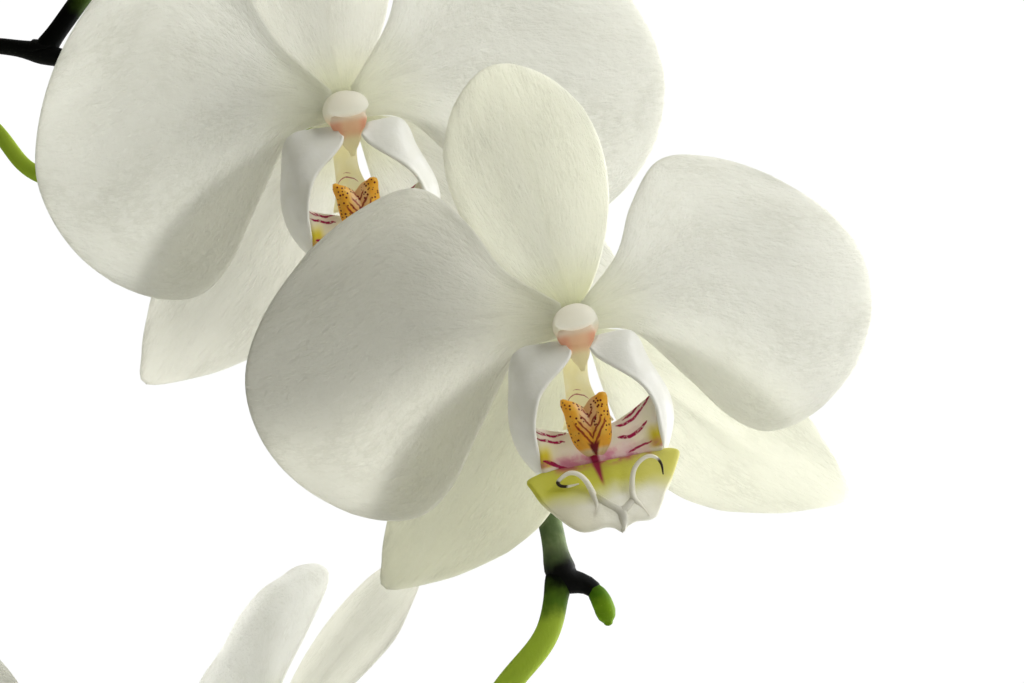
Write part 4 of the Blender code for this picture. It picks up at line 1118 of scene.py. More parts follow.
    def whisker(self, route: tuple[Point, ...], side: int) -> bpy.types.Mesh:
        """One tendril: a ridge on the plate that lifts off and curls, thinning to its dry tip."""
        path = smooth_path(route, 64)
        t = np.linspace(0, 1, len(path))
        on_plate = self.plate_depth(path[:, 0], path[:, 1])
        lift = np.interp(t, (0.0, 0.12, 0.3, 0.6, 1.0), (-0.35, -0.5, -1.1, -2.0, -0.6))
        depth = np.where(t < 0.3, on_plate + lift, 0.0)
        start = float(np.interp(0.3, t, on_plate + lift))
        depth = np.where(t < 0.3, depth, start + 0.3 * np.sin((t - 0.3) / 0.7 * math.pi * 0.9) - 0.2 * (t - 0.3))
        points = np.stack([path[:, 0], depth, path[:, 1]], axis=1)
        radii = np.interp(t, (0.0, 0.1, 0.22, 0.45, 0.75, 0.9, 1.0), (0.2, 0.34, 0.56, 0.44, 0.32, 0.22, 0.12))
        return tube_mesh("whisker", points, radii, 14)

    def keel(self, side: int) -> bpy.types.Mesh:
        """A ridge from the plate's apex to the foot of a whisker."""
        foot = (-2.3, -28.4) if side < 0 else (3.6, -29.8)
        bend = (-0.6, -30.1) if side < 0 else (2.3, -30.9)
        path = smooth_path([(0.85, -34.4), (1.2, -32.6), (1.1 + 0.25 * side, -31.5), bend, foot], 26)
        t = np.linspace(0, 1, len(path))
        points = np.stack([path[:, 0], self.plate_depth(path[:, 0], path[:, 1]) - 0.45 - 0.5 * t, path[:, 1]], axis=1)
        return tube_mesh("keel", points, np.interp(t, (0, 0.3, 1), (0.45, 0.95, 0.55)), 16, 0.55)

    def build(self) -> None:
        """Make every piece of the lip."""
        name = f"flower_{self.plan.letter}_lip"
        made = [
            ("plate", self.plate(), MIDLOBE), ("throat", self.throat(), THROAT), ("strap", self.strap(), CLAW),
            ("lobe_left", self.lobe(-1), LOBE), ("lobe_right", self.lobe(1), LOBE), ("crest", self.crest(), CALLUS),
            ("whisker_left", self.whisker(self.left_whisker, -1), LEFT_TENDRIL),
            ("whisker_right", self.whisker(self.right_whisker, 1), RIGHT_TENDRIL),
            ("keel_left", self.keel(-1), MIDLOBE), ("keel_right", self.keel(1), MIDLOBE)]
        for part, mesh, finish in made:
            mesh.transform(Matrix.Scale(self.plan.size, 4))
            nodes = (name,) if part == "plate" else ()
            add_piece(f"{name}_{part}", mesh, finish.material(), nodes, self.plan.facing(self.matrix))


@dataclass
class Column:
    """The column of a flower, with its rounded anther cap and the hollow stigma under it."""

    plan: FlowerPlan
    matrix: Matrix
    sides: int = 32

    def body(self) -> bpy.types.Mesh:
        """The column itself, lofted from front to back."""
        rows = smooth_path([
            (-0.6, -0.4, 3.9, 3.5), (-2.4, -0.2, 2.9, 2.8), (-4.8, 0.0, 2.4, 2.3), (-7.0, 0.15, 2.6, 2.4),
            (-8.4, 0.3, 3.2, 2.6), (-9.6, 0.35, 3.5, 2.7), (-10.7, 0.25, 3.2, 2.4), (-11.5, 0.1, 2.5, 1.9),
            (-12.0, 0.0, 1.5, 1.15), (-12.15, -0.05, 0.5, 0.4)], 34)
        sections = []
        for y, z, wide, high in rows:
            angles = 2 * math.pi * np.arange(self.sides) / self.sides
            up = np.where(np.sin(angles) < 0, 0.62 if y < -8.2 else 0.95, 1.0)
            sections.append(np.stack([wide * np.cos(angles), y + 0 * angles, z + high * np.sin(angles) * up], axis=1))
        return loft_mesh("column", sections)

    def stigma(self) -> bpy.types.Mesh:
        """The cupped shield under the cap, ending in a small beak."""
        rows = smooth_path([(-0.9, -9.9, 2.7), (-1.9, -9.7, 3.15), (-3.1, -9.0, 2.75), (-4.3, -8.2, 1.95),
                            (-5.2, -7.5, 1.75), (-6.3, -6.9, 1.3), (-7.2, -6.5, 0.62), (-8.1, -6.3, 0.08)], 26)
        u, v = np.meshgrid(crowded(17, True), np.linspace(0, 1, 26))
        w = 2 * u - 1
        hollow = (1 - w ** 2) * np.interp(v, (0, 0.15, 0.35, 0.6, 1.0), (0.2, 0.9, 1.3, 0.3, -0.2))
        middle = np.stack([-0.35 + w * rows[:, 2:], rows[:, 1:2] + hollow, rows[:, :1] + 0 * w], axis=-1)
        return sheet_mesh("stigma", middle, 0.35 + 0.5 * rim_share(u, v, 0.15, True), u, v)

    def build(self) -> None:
        """Make the column and its stigma."""
        name = f"flower_{self.plan.letter}_column"
        for part, mesh, finish, nodes in (("cap", self.body(), CAP, (name,)), ("stigma", self.stigma(), STIGMA, ())):
            mesh.transform(Matrix.Scale(self.plan.size, 4))
            add_piece(f"{name}_{part}", mesh, finish.material(), nodes,
                      self.plan.facing(self.matrix))


# ------------------------------------------------------------------ stalk

@dataclass
class Stalk:
    """The arching flower stalk with its joints, bracts, flower stems and end bud."""

    group: np.ndarray
    radius: float = 2.1
    swell: float = 0.22
    gap: float = 0.35
    foot: Point = (-169.5, 82.5, -294.0, 1.30)
    route: tuple[Point, ...] = (
        (-172.0, 76.0, -262.0, 1.28), (-172.5, 77.0, -200.0, 1.22), (-170.0, 82.0, -140.0, 1.16),
        (-166.0, 86.0, -80.0, 1.10), (-160.0, 88.0, -30.0, 1.04), (-150.0, 88.0, 14.0, 0.92),
        (-132.0, 87.0, 42.0, 0.80), (-110.0, 85.0, 54.5, 0.70), (-88.0, 80.0, 54.0, 0.76), (-66.0, 76.0, 44.0, 0.88),
        (-42.0, 68.0, 24.0, 0.94), (-21.0, 56.0, 6.0, 0.98), (-4.0, 44.0, -12.0, 1.0), (5.4, 38.0, -28.0, 1.0),
        (8.6, 34.0, -40.4, 1.0), (12.8, 33.2, -42.5, 0.80), (14.3, 32.8, -43.4, 0.70))
    joints: tuple[tuple[int, float], ...] = (
        (2, 0.8), (3, 0.8), (4, 0.8), (5, 0.9), (8, 4.2), (9, 1.2), (13, 0.9), (15, 0.85))
    bract_sides: tuple[int, ...] = (1, 0, 1, 0, 1, 1, 1)
    flare: float = 2.7

    def whole_route(self) -> np.ndarray:
        """The route in the row frame, with the radius share last."""
        rows = np.array([self.foot, *self.route], dtype=float)
        rows[:, :3] += self.group
        return rows

    def build(self) -> None:
        """Make the stalk, its bracts and its end bud."""
        route = self.whole_route()
        path = smooth_path(route, 420)
        radii = path[:, 3] * self.radius
        steps = np.linalg.norm(np.diff(path[:, :3], axis=0), axis=1)
        along = np.concatenate([[0.0], np.cumsum(steps)])
        places = []
        for index, reach in self.joints:
            away = np.linalg.norm(path[:, :3] - route[index][:3], axis=1)
            radii = radii * (1 + (self.swell + 0.1) * np.exp(-(away / 3.0) ** 2))
            places.append((along[int(away.argmin())] / 10.0 + (0.3 if index == 15 else 0.0), reach))
        last = len(path) - 1
        stalk = tube_mesh("stalk", path[:, :3], radii, 24)
        add_piece("stalk_skin", stalk, STALK_GREEN.material(tuple(places)), ("flower_stalk",))
        for number, (index, _) in enumerate(self.joints[:-1]):
            away = np.linalg.norm(path[:, :3] - route[index][:3], axis=1)
            at = int(away.argmin())
            ends = path[max(at - 3, 0), :3], path[min(at + 3, last), :3]
            self.bract(number, *ends, radii[at], self.bract_sides[number], along[at] / 10.0)
        self.bud(path)
        log.info("stalk: %.0f mm long, %d joints", along[-1], len(self.joints))

    def bract(self, number: int, before: np.ndarray, after: np.ndarray, radius: float, turned: int,
              place: float) -> None:
        """A small pointed scale that hugs a joint.

        Args:
            number: Number of the bract.
            before: A point on the stalk below the joint.
            after: A point above it.
            radius: Radius of the stalk there.
            turned: 1 to put it on the other side.
            place: Its distance along the stalk in tens of millimetres, which sets its colour.
        """
        along = (after - before) / np.linalg.norm(after - before)
        side = np.cross(along, (0.0, 1.0, 0.0)) * (1 if turned else -1)
        side /= np.linalg.norm(side)
        across = np.cross(along, side)
        u, v = np.meshgrid(crowded(13, True), np.linspace(0, 1, 12))
        angle = (2 * u - 1) * math.radians(96) * (1 - v ** 1.6) ** 0.7
        reach = radius * (1.02 + 0.12 * np.sin(math.pi * v))
        middle = ((before + after) / 2 + along * (5.2 * v - 2.4)[..., None]
                  + side * (reach * np.cos(angle))[..., None] + across * (reach * np.sin(angle))[..., None])
        mesh = sheet_mesh("bract", middle, 0.15 + 0.25 * rim_share(u, v, 0.1), u, v)
        layer = mesh.uv_layers["grid"].uv
        values = np.zeros(len(mesh.loops) * 2, dtype=np.float32)
        layer.foreach_get("vector", values)
        values[1::2] = place + 0.5 * values[1::2]
        layer.foreach_set("vector", values)
        add_piece(f"stalk_bract_{number + 1}", mesh, STALK_GREEN.material())

    def bud(self, path: np.ndarray) -> None:
        """The small end bud."""
        low, high = (np.array(c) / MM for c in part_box("terminal_bud"))
        tip = path[-1, :3]
        hang = np.array([0.26, 0.0, -0.97])
        top = np.array([tip[0] + 0.5, tip[1], high[2] + 0.3])
        foot = np.array([high[0] - 1.35, tip[1], low[2] + 2.2])
        line = smooth_path([tip, top + np.array([0.5, 0, -0.5]), (top + foot) / 2 + np.array([0.35, 0, 0.0]),
                            foot + hang * 0.1], 30)
        shape = np.interp(np.linspace(0, 1, 30), (0, 0.15, 0.4, 0.7, 0.88, 1.0), (1.5, 1.8, 2.0, 2.0, 1.65, 0.9))
        add_piece("bud_body", tube_mesh("bud", line, shape, 24, 0.9), BUD_GREEN.material(),
                  ("terminal_bud",))

    def pedicel(self, plan: FlowerPlan, matrix: Matrix) -> None:
        """The stem of one flower, swelling where it meets the back of the flower."""
        joint = self.whole_route()[plan.joint]
        behind = (0.45 + 1.65) * plan.size
        end = np.array(matrix @ Vector((0.0, behind * MM, 0.0))) / MM
        approach = np.array(matrix @ Vector((0.0, (behind + 4.35) * MM, 0.0))) / MM
        via = [np.array(p, dtype=float) + self.group for p in plan.via]
        direction = (via[0] - joint[:3]) / np.linalg.norm(via[0] - joint[:3])
        start = joint[:3] + direction * (joint[3] * self.radius * 0.6)
        path = smooth_path([start, *via, approach, end], 90)
        share = np.linspace(0.0, 1.0, len(path))
        radii = plan.stem * (0.9 + 0.14 * share) + (self.flare - plan.stem) * np.clip(share * 4 - 3, 0, 1)
        steps = np.linalg.norm(np.diff(path, axis=0), axis=1)
        along = np.concatenate([[0.0], np.cumsum(steps)])
        radii = radii * (1 + 0.18 * np.exp(-(along / 2.6) ** 2))
        node = f"flower_{plan.letter}_pedicel"
        finish = LONG_DARK_GREEN if plan.letter == "e" else PEDICEL_GREEN
        add_piece(node + "_stem", tube_mesh("pedicel", path, radii, 22), finish.material(), (node,))


# ------------------------------------------------------------------ pot, bark, leaves and roots

@dataclass(frozen=True)
class LeafFinish:
    """Waxy leaf skin: deep green above with a pale midrib, lighter below and at the base."""

    above: Colour = (0.026, 0.088, 0.013)
    fresh: Colour = (0.055, 0.15, 0.02)
    below: Colour = (0.13, 0.22, 0.07)
    pale: Colour = (0.20, 0.31, 0.09)

    def material(self) -> bpy.types.Material:
        """Make the material."""
        made = bpy.data.materials.get("leaf_skin")
        if made:
            return made
        mat, n, shader, _ = new_material("leaf_skin")
        grid = n.add("UVMap", uv_map="grid").outputs[0]
        parts = n.add("SeparateXYZ", {0: grid})
        u, v = parts.outputs[0], parts.outputs[1]
        place = n.scaled(n.add("TexCoord").outputs["Object"], (1000.0, 1000.0, 1000.0))
        blotch = n.noise(place, 0.035, 4.0, 0.6)
        fibre = n.noise(n.scaled(grid, (85.0, 2.2, 1.0)), 1.0, 3.0)
        colour = n.mix(n.smooth(blotch, 0.35, 0.65), self.above, self.fresh)
        colour = n.mix(n.smooth(fibre, 0.48, 0.75, 0.0, 0.3), colour, self.fresh)
        rib = n.smooth(n.math("ABSOLUTE", n.math("SUBTRACT", u, 0.5)), 0.028, 0.004)
        colour = n.mix(n.math("MULTIPLY", rib, 0.55), colour, self.pale)
        colour = n.mix(n.smooth(v, 0.14, 0.0, 0.0, 0.8), colour, self.pale)
        edge = n.math("MINIMUM", u, n.math("SUBTRACT", 1.0, u))
        colour = n.mix(n.smooth(edge, 0.02, 0.0, 0.0, 0.6), colour, (0.09, 0.10, 0.03))
        speck = n.smooth(n.noise(place, 0.6, 2.0), 0.70, 0.76, 0.0, 0.35)
        colour = n.mix(speck, colour, (0.10, 0.09, 0.03))
        up = n.add("SeparateXYZ", {0: n.add("NewGeometry").outputs["Normal"]}).outputs[2]
        colour = n.mix(n.smooth(up, 0.1, -0.3, 0.0, 0.85), colour, self.below)
        relief = n.math("ADD", fibre, n.math("MULTIPLY", n.noise(place, 0.5, 4.0), 0.7))
        bump = n.add("Bump", {"Strength": 0.35, "Distance": 0.0004, "Height": relief})
        n.tree.links.new(colour, shader.inputs["Base Color"])
        n.tree.links.new(bump.outputs[0], shader.inputs["Normal"])
        n.tree.links.new(n.smooth(n.noise(place, 0.12, 3.0), 0.3, 0.7, 0.3, 0.46), shader.inputs["Roughness"])
        shader.inputs["Coat Weight"].default_value = 0.15
        shader.inputs["Coat Roughness"].default_value = 0.25
        return mat


@dataclass(frozen=True)
class PotFinish:
    """Off-white glaze with fine specks, and bare clay at the foot."""

    glaze: Colour = (0.80, 0.79, 0.75)
    cream: Colour = (0.74, 0.71, 0.64)
    clay: Colour = (0.42, 0.27, 0.17)

    def material(self) -> bpy.types.Material:
        """Make the material."""
        mat, n, shader, _ = new_material("pot_skin")
        _, z, place = local_place(n)
        drift = n.noise(n.scaled(place, (1.0, 1.0, 0.35)), 0.03, 3.0)
        colour = n.mix(n.smooth(drift, 0.35, 0.7), self.glaze, self.cream)
        dots = n.add("TexVoronoi", {"Vector": place, "Scale": 0.28, "Randomness": 1.0}, feature="F1")
        speck = n.smooth(dots.outputs["Distance"], 0.10, 0.05)
        rare = n.smooth(n.noise(place, 0.15, 2.0), 0.5, 0.56)
        colour = n.mix(n.math("MULTIPLY", n.math("MULTIPLY", speck, rare), 0.75), colour, (0.20, 0.12, 0.07))
        worn = n.math("ADD", z, n.math("MULTIPLY", n.noise(place, 0.25, 3.0), 1.6))
        bare = n.smooth(worn, 2.6, 1.9)
        colour = n.mix(bare, colour, self.clay)
        relief = n.math("ADD", n.noise(place, 0.09, 2.0), n.math("MULTIPLY", n.noise(place, 0.9, 4.0), 0.12))
        bump = n.add("Bump", {"Strength": 0.3, "Distance": 0.0012, "Height": relief})
        n.tree.links.new(colour, shader.inputs["Base Color"])
        n.tree.links.new(bump.outputs[0], shader.inputs["Normal"])
        n.tree.links.new(n.math("ADD", n.smooth(drift, 0.3, 0.7, 0.2, 0.3), n.math("MULTIPLY", bare, 0.5)),
                         shader.inputs["Roughness"])
        return mat


@dataclass(frozen=True)
class BarkFinish:
    """Fir bark: each chip has its own brown, with darker corky streaks."""

    light: Colour = (0.26, 0.145, 0.07)
    dark: Colour = (0.075, 0.036, 0.018)
    red: Colour = (0.20, 0.075, 0.035)

    def material(self) -> bpy.types.Material:
        """Make the material; the map's second number is each chip's own share."""
        mat, n, shader, _ = new_material("bark_skin")
        parts = n.add("SeparateXYZ", {0: n.add("UVMap", uv_map="grid").outputs[0]})
        own = parts.outputs[1]
        place = n.scaled(n.add("TexCoord").outputs["Object"], (1000.0, 1000.0, 1000.0))
        streak = n.noise(n.scaled(place, (0.25, 0.25, 1.3)), 1.0, 5.0, 0.65)
        grain = n.noise(place, 1.1, 5.0, 0.6)
        colour = n.mix(own, self.dark, self.light)
        colour = n.mix(n.smooth(grain, 0.4, 0.65, 0.0, 0.7), colour, self.red)
        colour = n.mix(n.smooth(streak, 0.55, 0.7, 0.0, 0.8), colour, (0.02, 0.012, 0.008))
        relief = n.math("ADD", streak, n.math("MULTIPLY", grain, 0.5))
        bump = n.add("Bump", {"Strength": 0.8, "Distance": 0.0012, "Height": relief})
        n.tree.links.new(colour, shader.inputs["Base Color"])
        n.tree.links.new(bump.outputs[0], shader.inputs["Normal"])
        shader.inputs["Roughness"].default_value = 0.88
        return mat


@dataclass(frozen=True)
class RootFinish:
    """Silvery root skin with a green growing tip; the map's second number is the share along it."""

    silver: Colour = (0.50, 0.52, 0.44)
    damp: Colour = (0.22, 0.29, 0.15)
    tip: Colour = (0.16, 0.26, 0.05)

    def material(self) -> bpy.types.Material:
        """Make the material."""
        made = bpy.data.materials.get("root_skin")
        if made:
            return made
        mat, n, shader, _ = new_material("root_skin")
        share = n.add("SeparateXYZ", {0: n.add("UVMap", uv_map="grid").outputs[0]}).outputs[1]
        place = n.scaled(n.add("TexCoord").outputs["Object"], (1000.0, 1000.0, 1000.0))
        blotch = n.noise(place, 0.16, 4.0, 0.6)
        colour = n.mix(n.smooth(blotch, 0.42, 0.68, 0.0, 0.75), self.silver, self.damp)
        colour = n.mix(n.smooth(n.noise(place, 1.4, 3.0), 0.6, 0.75, 0.0, 0.5), colour, (0.30, 0.24, 0.15))
        colour = n.mix(n.smooth(n.math("ADD", share, n.math("MULTIPLY", blotch, 0.04)), 0.88, 0.95), colour, self.tip)
        bump = n.add("Bump", {"Strength": 0.5, "Distance": 0.0005, "Height": n.noise(place, 0.9, 5.0, 0.6)})
        n.tree.links.new(colour, shader.inputs["Base Color"])
        n.tree.links.new(bump.outputs[0], shader.inputs["Normal"])
        shader.inputs["Roughness"].default_value = 0.75
        return mat


@dataclass(frozen=True)
class CrownFinish:
    """The short stem: pale green above, browner where old leaves have gone."""

    green: Colour = (0.13, 0.22, 0.055)
    brown: Colour = (0.20, 0.15, 0.07)

    def material(self) -> bpy.types.Material:
        """Make the material."""
        mat, n, shader, _ = new_material("crown_skin")
        _, z, place = local_place(n)
        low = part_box("crown")[0][2] / MM
        colour = n.mix(n.smooth(z, low + 4.0, low + 16.0), self.brown, self.green)
        colour = n.mix(n.smooth(n.noise(place, 0.5, 4.0), 0.55, 0.7, 0.0, 0.6), colour, (0.10, 0.08, 0.03))
        bump = n.add("Bump", {"Strength": 0.5, "Distance": 0.0006,
                              "Height": n.noise(n.scaled(place, (0.4, 0.4, 1.6)), 1.0, 4.0)})
        n.tree.links.new(colour, shader.inputs["Base Color"])
        n.tree.links.new(bump.outputs[0], shader.inputs["Normal"])
        shader.inputs["Roughness"].default_value = 0.55
        return mat


def turned_mesh(name: str, profile: list[Point], sides: int) -> bpy.types.Mesh:
    """Turn a profile of (radius, height) points about the upright axis; it starts and ends on the axis."""
    angles = 2 * math.pi * np.arange(sides) / sides
    verts = [(0.0, 0.0, profile[0][1]), (0.0, 0.0, profile[-1][1])]
    rings = profile[1:-1]
    for radius, height in rings:
        verts += [(radius * math.cos(a), radius * math.sin(a), height) for a in angles]
    faces: list[tuple[int, ...]] = []
    last = 2 + (len(rings) - 1) * sides
    for k in range(sides):
        n = (k + 1) % sides
        faces.append((0, 2 + n, 2 + k))
        faces.append((1, last + k, last + n))
        for i in range(len(rings) - 1):
            a, b = 2 + i * sides, 2 + (i + 1) * sides
            faces.append((a + k, a + n, b + n, b + k))
    return finish_mesh(name, np.array(verts), faces)


@dataclass
class Pot:
    """A plain tapered pot with a band round its mouth, a foot ring and drain holes."""

    base_radius: float = 46.0
    wall: float = 3.4
    floor: float = 6.0
    band_height: float = 16.0
    band_out: float = 1.8
    foot_recess: float = 1.0
    drain_radius: float = 5.0
    drain_circle: float = 27.0
    drains: int = 4
    sides: int = 144

    def profile(self) -> list[Point]:
        """The section of the wall, from the middle of the foot round to the middle of the floor."""
        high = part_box("pot")[1]
        height = high[2] / MM
        rim = high[0] / MM - self.band_out
        band = height - self.band_height

        def outer(z: float) -> float:
            return self.base_radius + (rim - self.base_radius) * z / height

        out, base = self.band_out, self.base_radius
        points = [(0.0, self.foot_recess), (base - 8.5, self.foot_recess), (base - 7.2, 0.2), (base - 6.2, 0.0),
                  (base - 1.4, 0.0), (base - 0.4, 0.35), (outer(1.4), 1.4)]
        points += [(outer(z), z) for z in np.linspace(4.0, band - 1.6, 12)]
        points += [(outer(band) + 0.15, band - 0.7), (outer(band) + 0.7, band - 0.1), (outer(band) + 1.4, band + 0.5),
                   (outer(band) + out, band + 1.6)]
        points += [(outer(z) + out, z) for z in np.linspace(band + 4.0, height - 3.4, 4)]
        points += [(rim + out - 0.15, height - 1.7), (rim + out - 0.7, height - 0.6), (rim + out - 1.7, height - 0.05),
                   (rim - self.wall / 2, height), (rim - self.wall + 0.9, height - 0.4),
                   (rim - self.wall, height - 1.5)]
        points += [(outer(z) - self.wall, z) for z in (height - 6.0, height - 14.0, 60.0, self.floor + 5.0)]
        points += [(outer(self.floor) - self.wall - 2.5, self.floor), (0.0, self.floor)]
        return points

    def build(self) -> None:
        """Turn the pot and cut its drain holes."""
        pot = bpy.data.objects.new("pot_blank", turned_mesh("pot", self.profile(), self.sides))
        bpy.context.scene.collection.objects.link(pot)
        cutters = []
        for k in range(self.drains):
            angle = 2 * math.pi * (k + 0.5) / self.drains
            r, low, high = self.drain_radius, -self.floor, 2 * self.floor
            cutter = bpy.data.objects.new("drain", turned_mesh(
                "drain", [(0.0, low), (r, low), (r, high), (0.0, high)], 32))
            cutter.location = (self.drain_circle * MM * math.cos(angle), self.drain_circle * MM * math.sin(angle), 0.0)
            bpy.context.scene.collection.objects.link(cutter)
            cut = pot.modifiers.new("drain", "BOOLEAN")
            cut.operation, cut.object = "DIFFERENCE", cutter
            cutters.append(cutter)
        graph = bpy.context.evaluated_depsgraph_get()
        mesh = bpy.data.meshes.new_from_object(pot.evaluated_get(graph), depsgraph=graph)
        mesh.set_sharp_from_angle(angle=math.radians(50.0))
        for obj in (pot, *cutters):
            bpy.data.objects.remove(obj, do_unlink=True)
        add_piece("pot_body", mesh, PotFinish().material(), ("pot",))
        log.info("pot: %d faces", len(mesh.polygons))


@dataclass
class BarkBed:
    """The bark in the pot: a heaped bed with loose chips on top."""

    chips: int = 210
    seed: int = 7
    slip: float = 5.0
    crown_room: float = 10.5
    length: Point = (9.0, 16.0)
    width: Point = (6.0, 10.0)
    thickness: Point = (3.0, 5.5)
    tilt: float = 0.42

    def template(self) -> tuple[np.ndarray, list[tuple[int, ...]]]:
        """Corners and faces of a block with a few points along each edge."""
        bm = bmesh.new()
        bmesh.ops.create_cube(bm, size=1.0)
        bmesh.ops.subdivide_edges(bm, edges=bm.edges, cuts=2, use_grid_fill=True)
        bm.verts.ensure_lookup_table()
        verts = np.array([tuple(v.co) for v in bm.verts])
        faces = [tuple(v.index for v in f.verts) for f in bm.faces]
        bm.free()
        return verts, faces

    def build(self) -> None:
        """Make the bed and the chips."""
        low, high = (np.array(c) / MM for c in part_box("bark_medium"))
        rng = np.random.default_rng(self.seed)
        radius, top = high[0], high[2]
        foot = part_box("pot")[0][2] / MM + low[2]

        def surface(r: float) -> float:
            return top - 3.0 * float(np.clip((r - 14.0) / (radius - 14.0), 0.0, 1.0)) - 1.2

        profile = [(0.0, foot), (radius - 13.6, foot), (radius - 0.2, surface(radius) - 1.0)]
        profile += [(r, surface(r)) for r in (radius - 3.0, 46.0, 34.0, 22.0, 12.0)] + [(0.0, surface(0.0))]
        bed = turned_mesh("bed", profile, 96)
        block, block_faces = self.template()
        verts, faces, uvs = [], [], []
        reach = radius - self.slip
        for k in range(self.chips):
            share = (k + 0.5) / self.chips
            size = np.array([rng.uniform(*self.length), rng.uniform(*self.width), rng.uniform(*self.thickness)])
            angle = k * 2.399963 + rng.uniform(-0.2, 0.2)
            r = min(max(reach * math.sqrt(share), self.crown_room), reach - size[0] / 2 + 2.0)
            shape = block * size * (1 + 0.10 * rng.standard_normal(block.shape))
            shape[:, 1] *= 1 - 0.35 * np.clip(block[:, 0] + 0.5, 0, 1) * rng.uniform(0, 1)
            shape[:, 2] += 0.10 * size[2] * np.sin(block[:, 0] * 5 + rng.uniform(0, 6))
            turn = (Matrix.Rotation(angle, 3, "Z") @ Matrix.Rotation(rng.normal(0, self.tilt), 3, "X")
                    @ Matrix.Rotation(rng.normal(0, self.tilt * 0.7), 3, "Y")
                    @ Matrix.Rotation(rng.uniform(0, 2 * math.pi), 3, "Z"))
            place = np.array([r * math.cos(angle), r * math.sin(angle), surface(r) + rng.uniform(-0.8, 1.2)])
            start = len(verts) * len(block)
            verts.append(shape @ np.array(turn).T + place)
            faces += [tuple(start + i for i in face) for face in block_faces]
            uvs.append(np.column_stack([block[:, 0] + 0.5, np.full(len(block), rng.uniform(0, 1))]))
        chips = finish_mesh("chips", np.vstack(verts), faces, np.vstack(uvs))
        chips.shade_flat()
        finish = BarkFinish().material()
        add_piece("bark_bed", bed, finish, ("bark_medium",))
        add_piece("bark_chips", chips, finish)
        log.info("bark: %d chips", self.chips)


@dataclass
class Crown:
    """The short stem with the clasping leaf bases, and where everything on it starts."""

    radius: float = 9.0
    height: float = 34.0
    rank_azimuth: float = -22.0
    gap: float = 0.35

    @property
    def bark_top(self) -> float:
        """Height of the top of the bark."""
        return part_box("crown")[0][2] / MM - self.gap

    def build(self) -> None:
        """Make the stem."""
        low, r, h = self.bark_top - 4.0, self.radius, self.height + 4.0
        shares = ((0.0, 0.86), (0.12, 0.95), (0.22, 0.9), (0.3, 0.98), (0.42, 0.92), (0.5, 0.97), (0.62, 0.88),
                  (0.7, 0.9), (0.82, 0.74), (0.9, 0.6), (0.97, 0.38))
        profile = [(0.0, low)] + [(r * w, low + h * s) for s, w in shares] + [(0.0, low + h)]
        fine = smooth_path(profile[1:-1], 60)
        mesh = turned_mesh("crown", [profile[0], *[tuple(p) for p in fine], profile[-1]], 64)
        add_piece("crown_stem", mesh, CrownFinish().material(), ("crown",))
        log.info("crown: %.0f mm high", self.height)


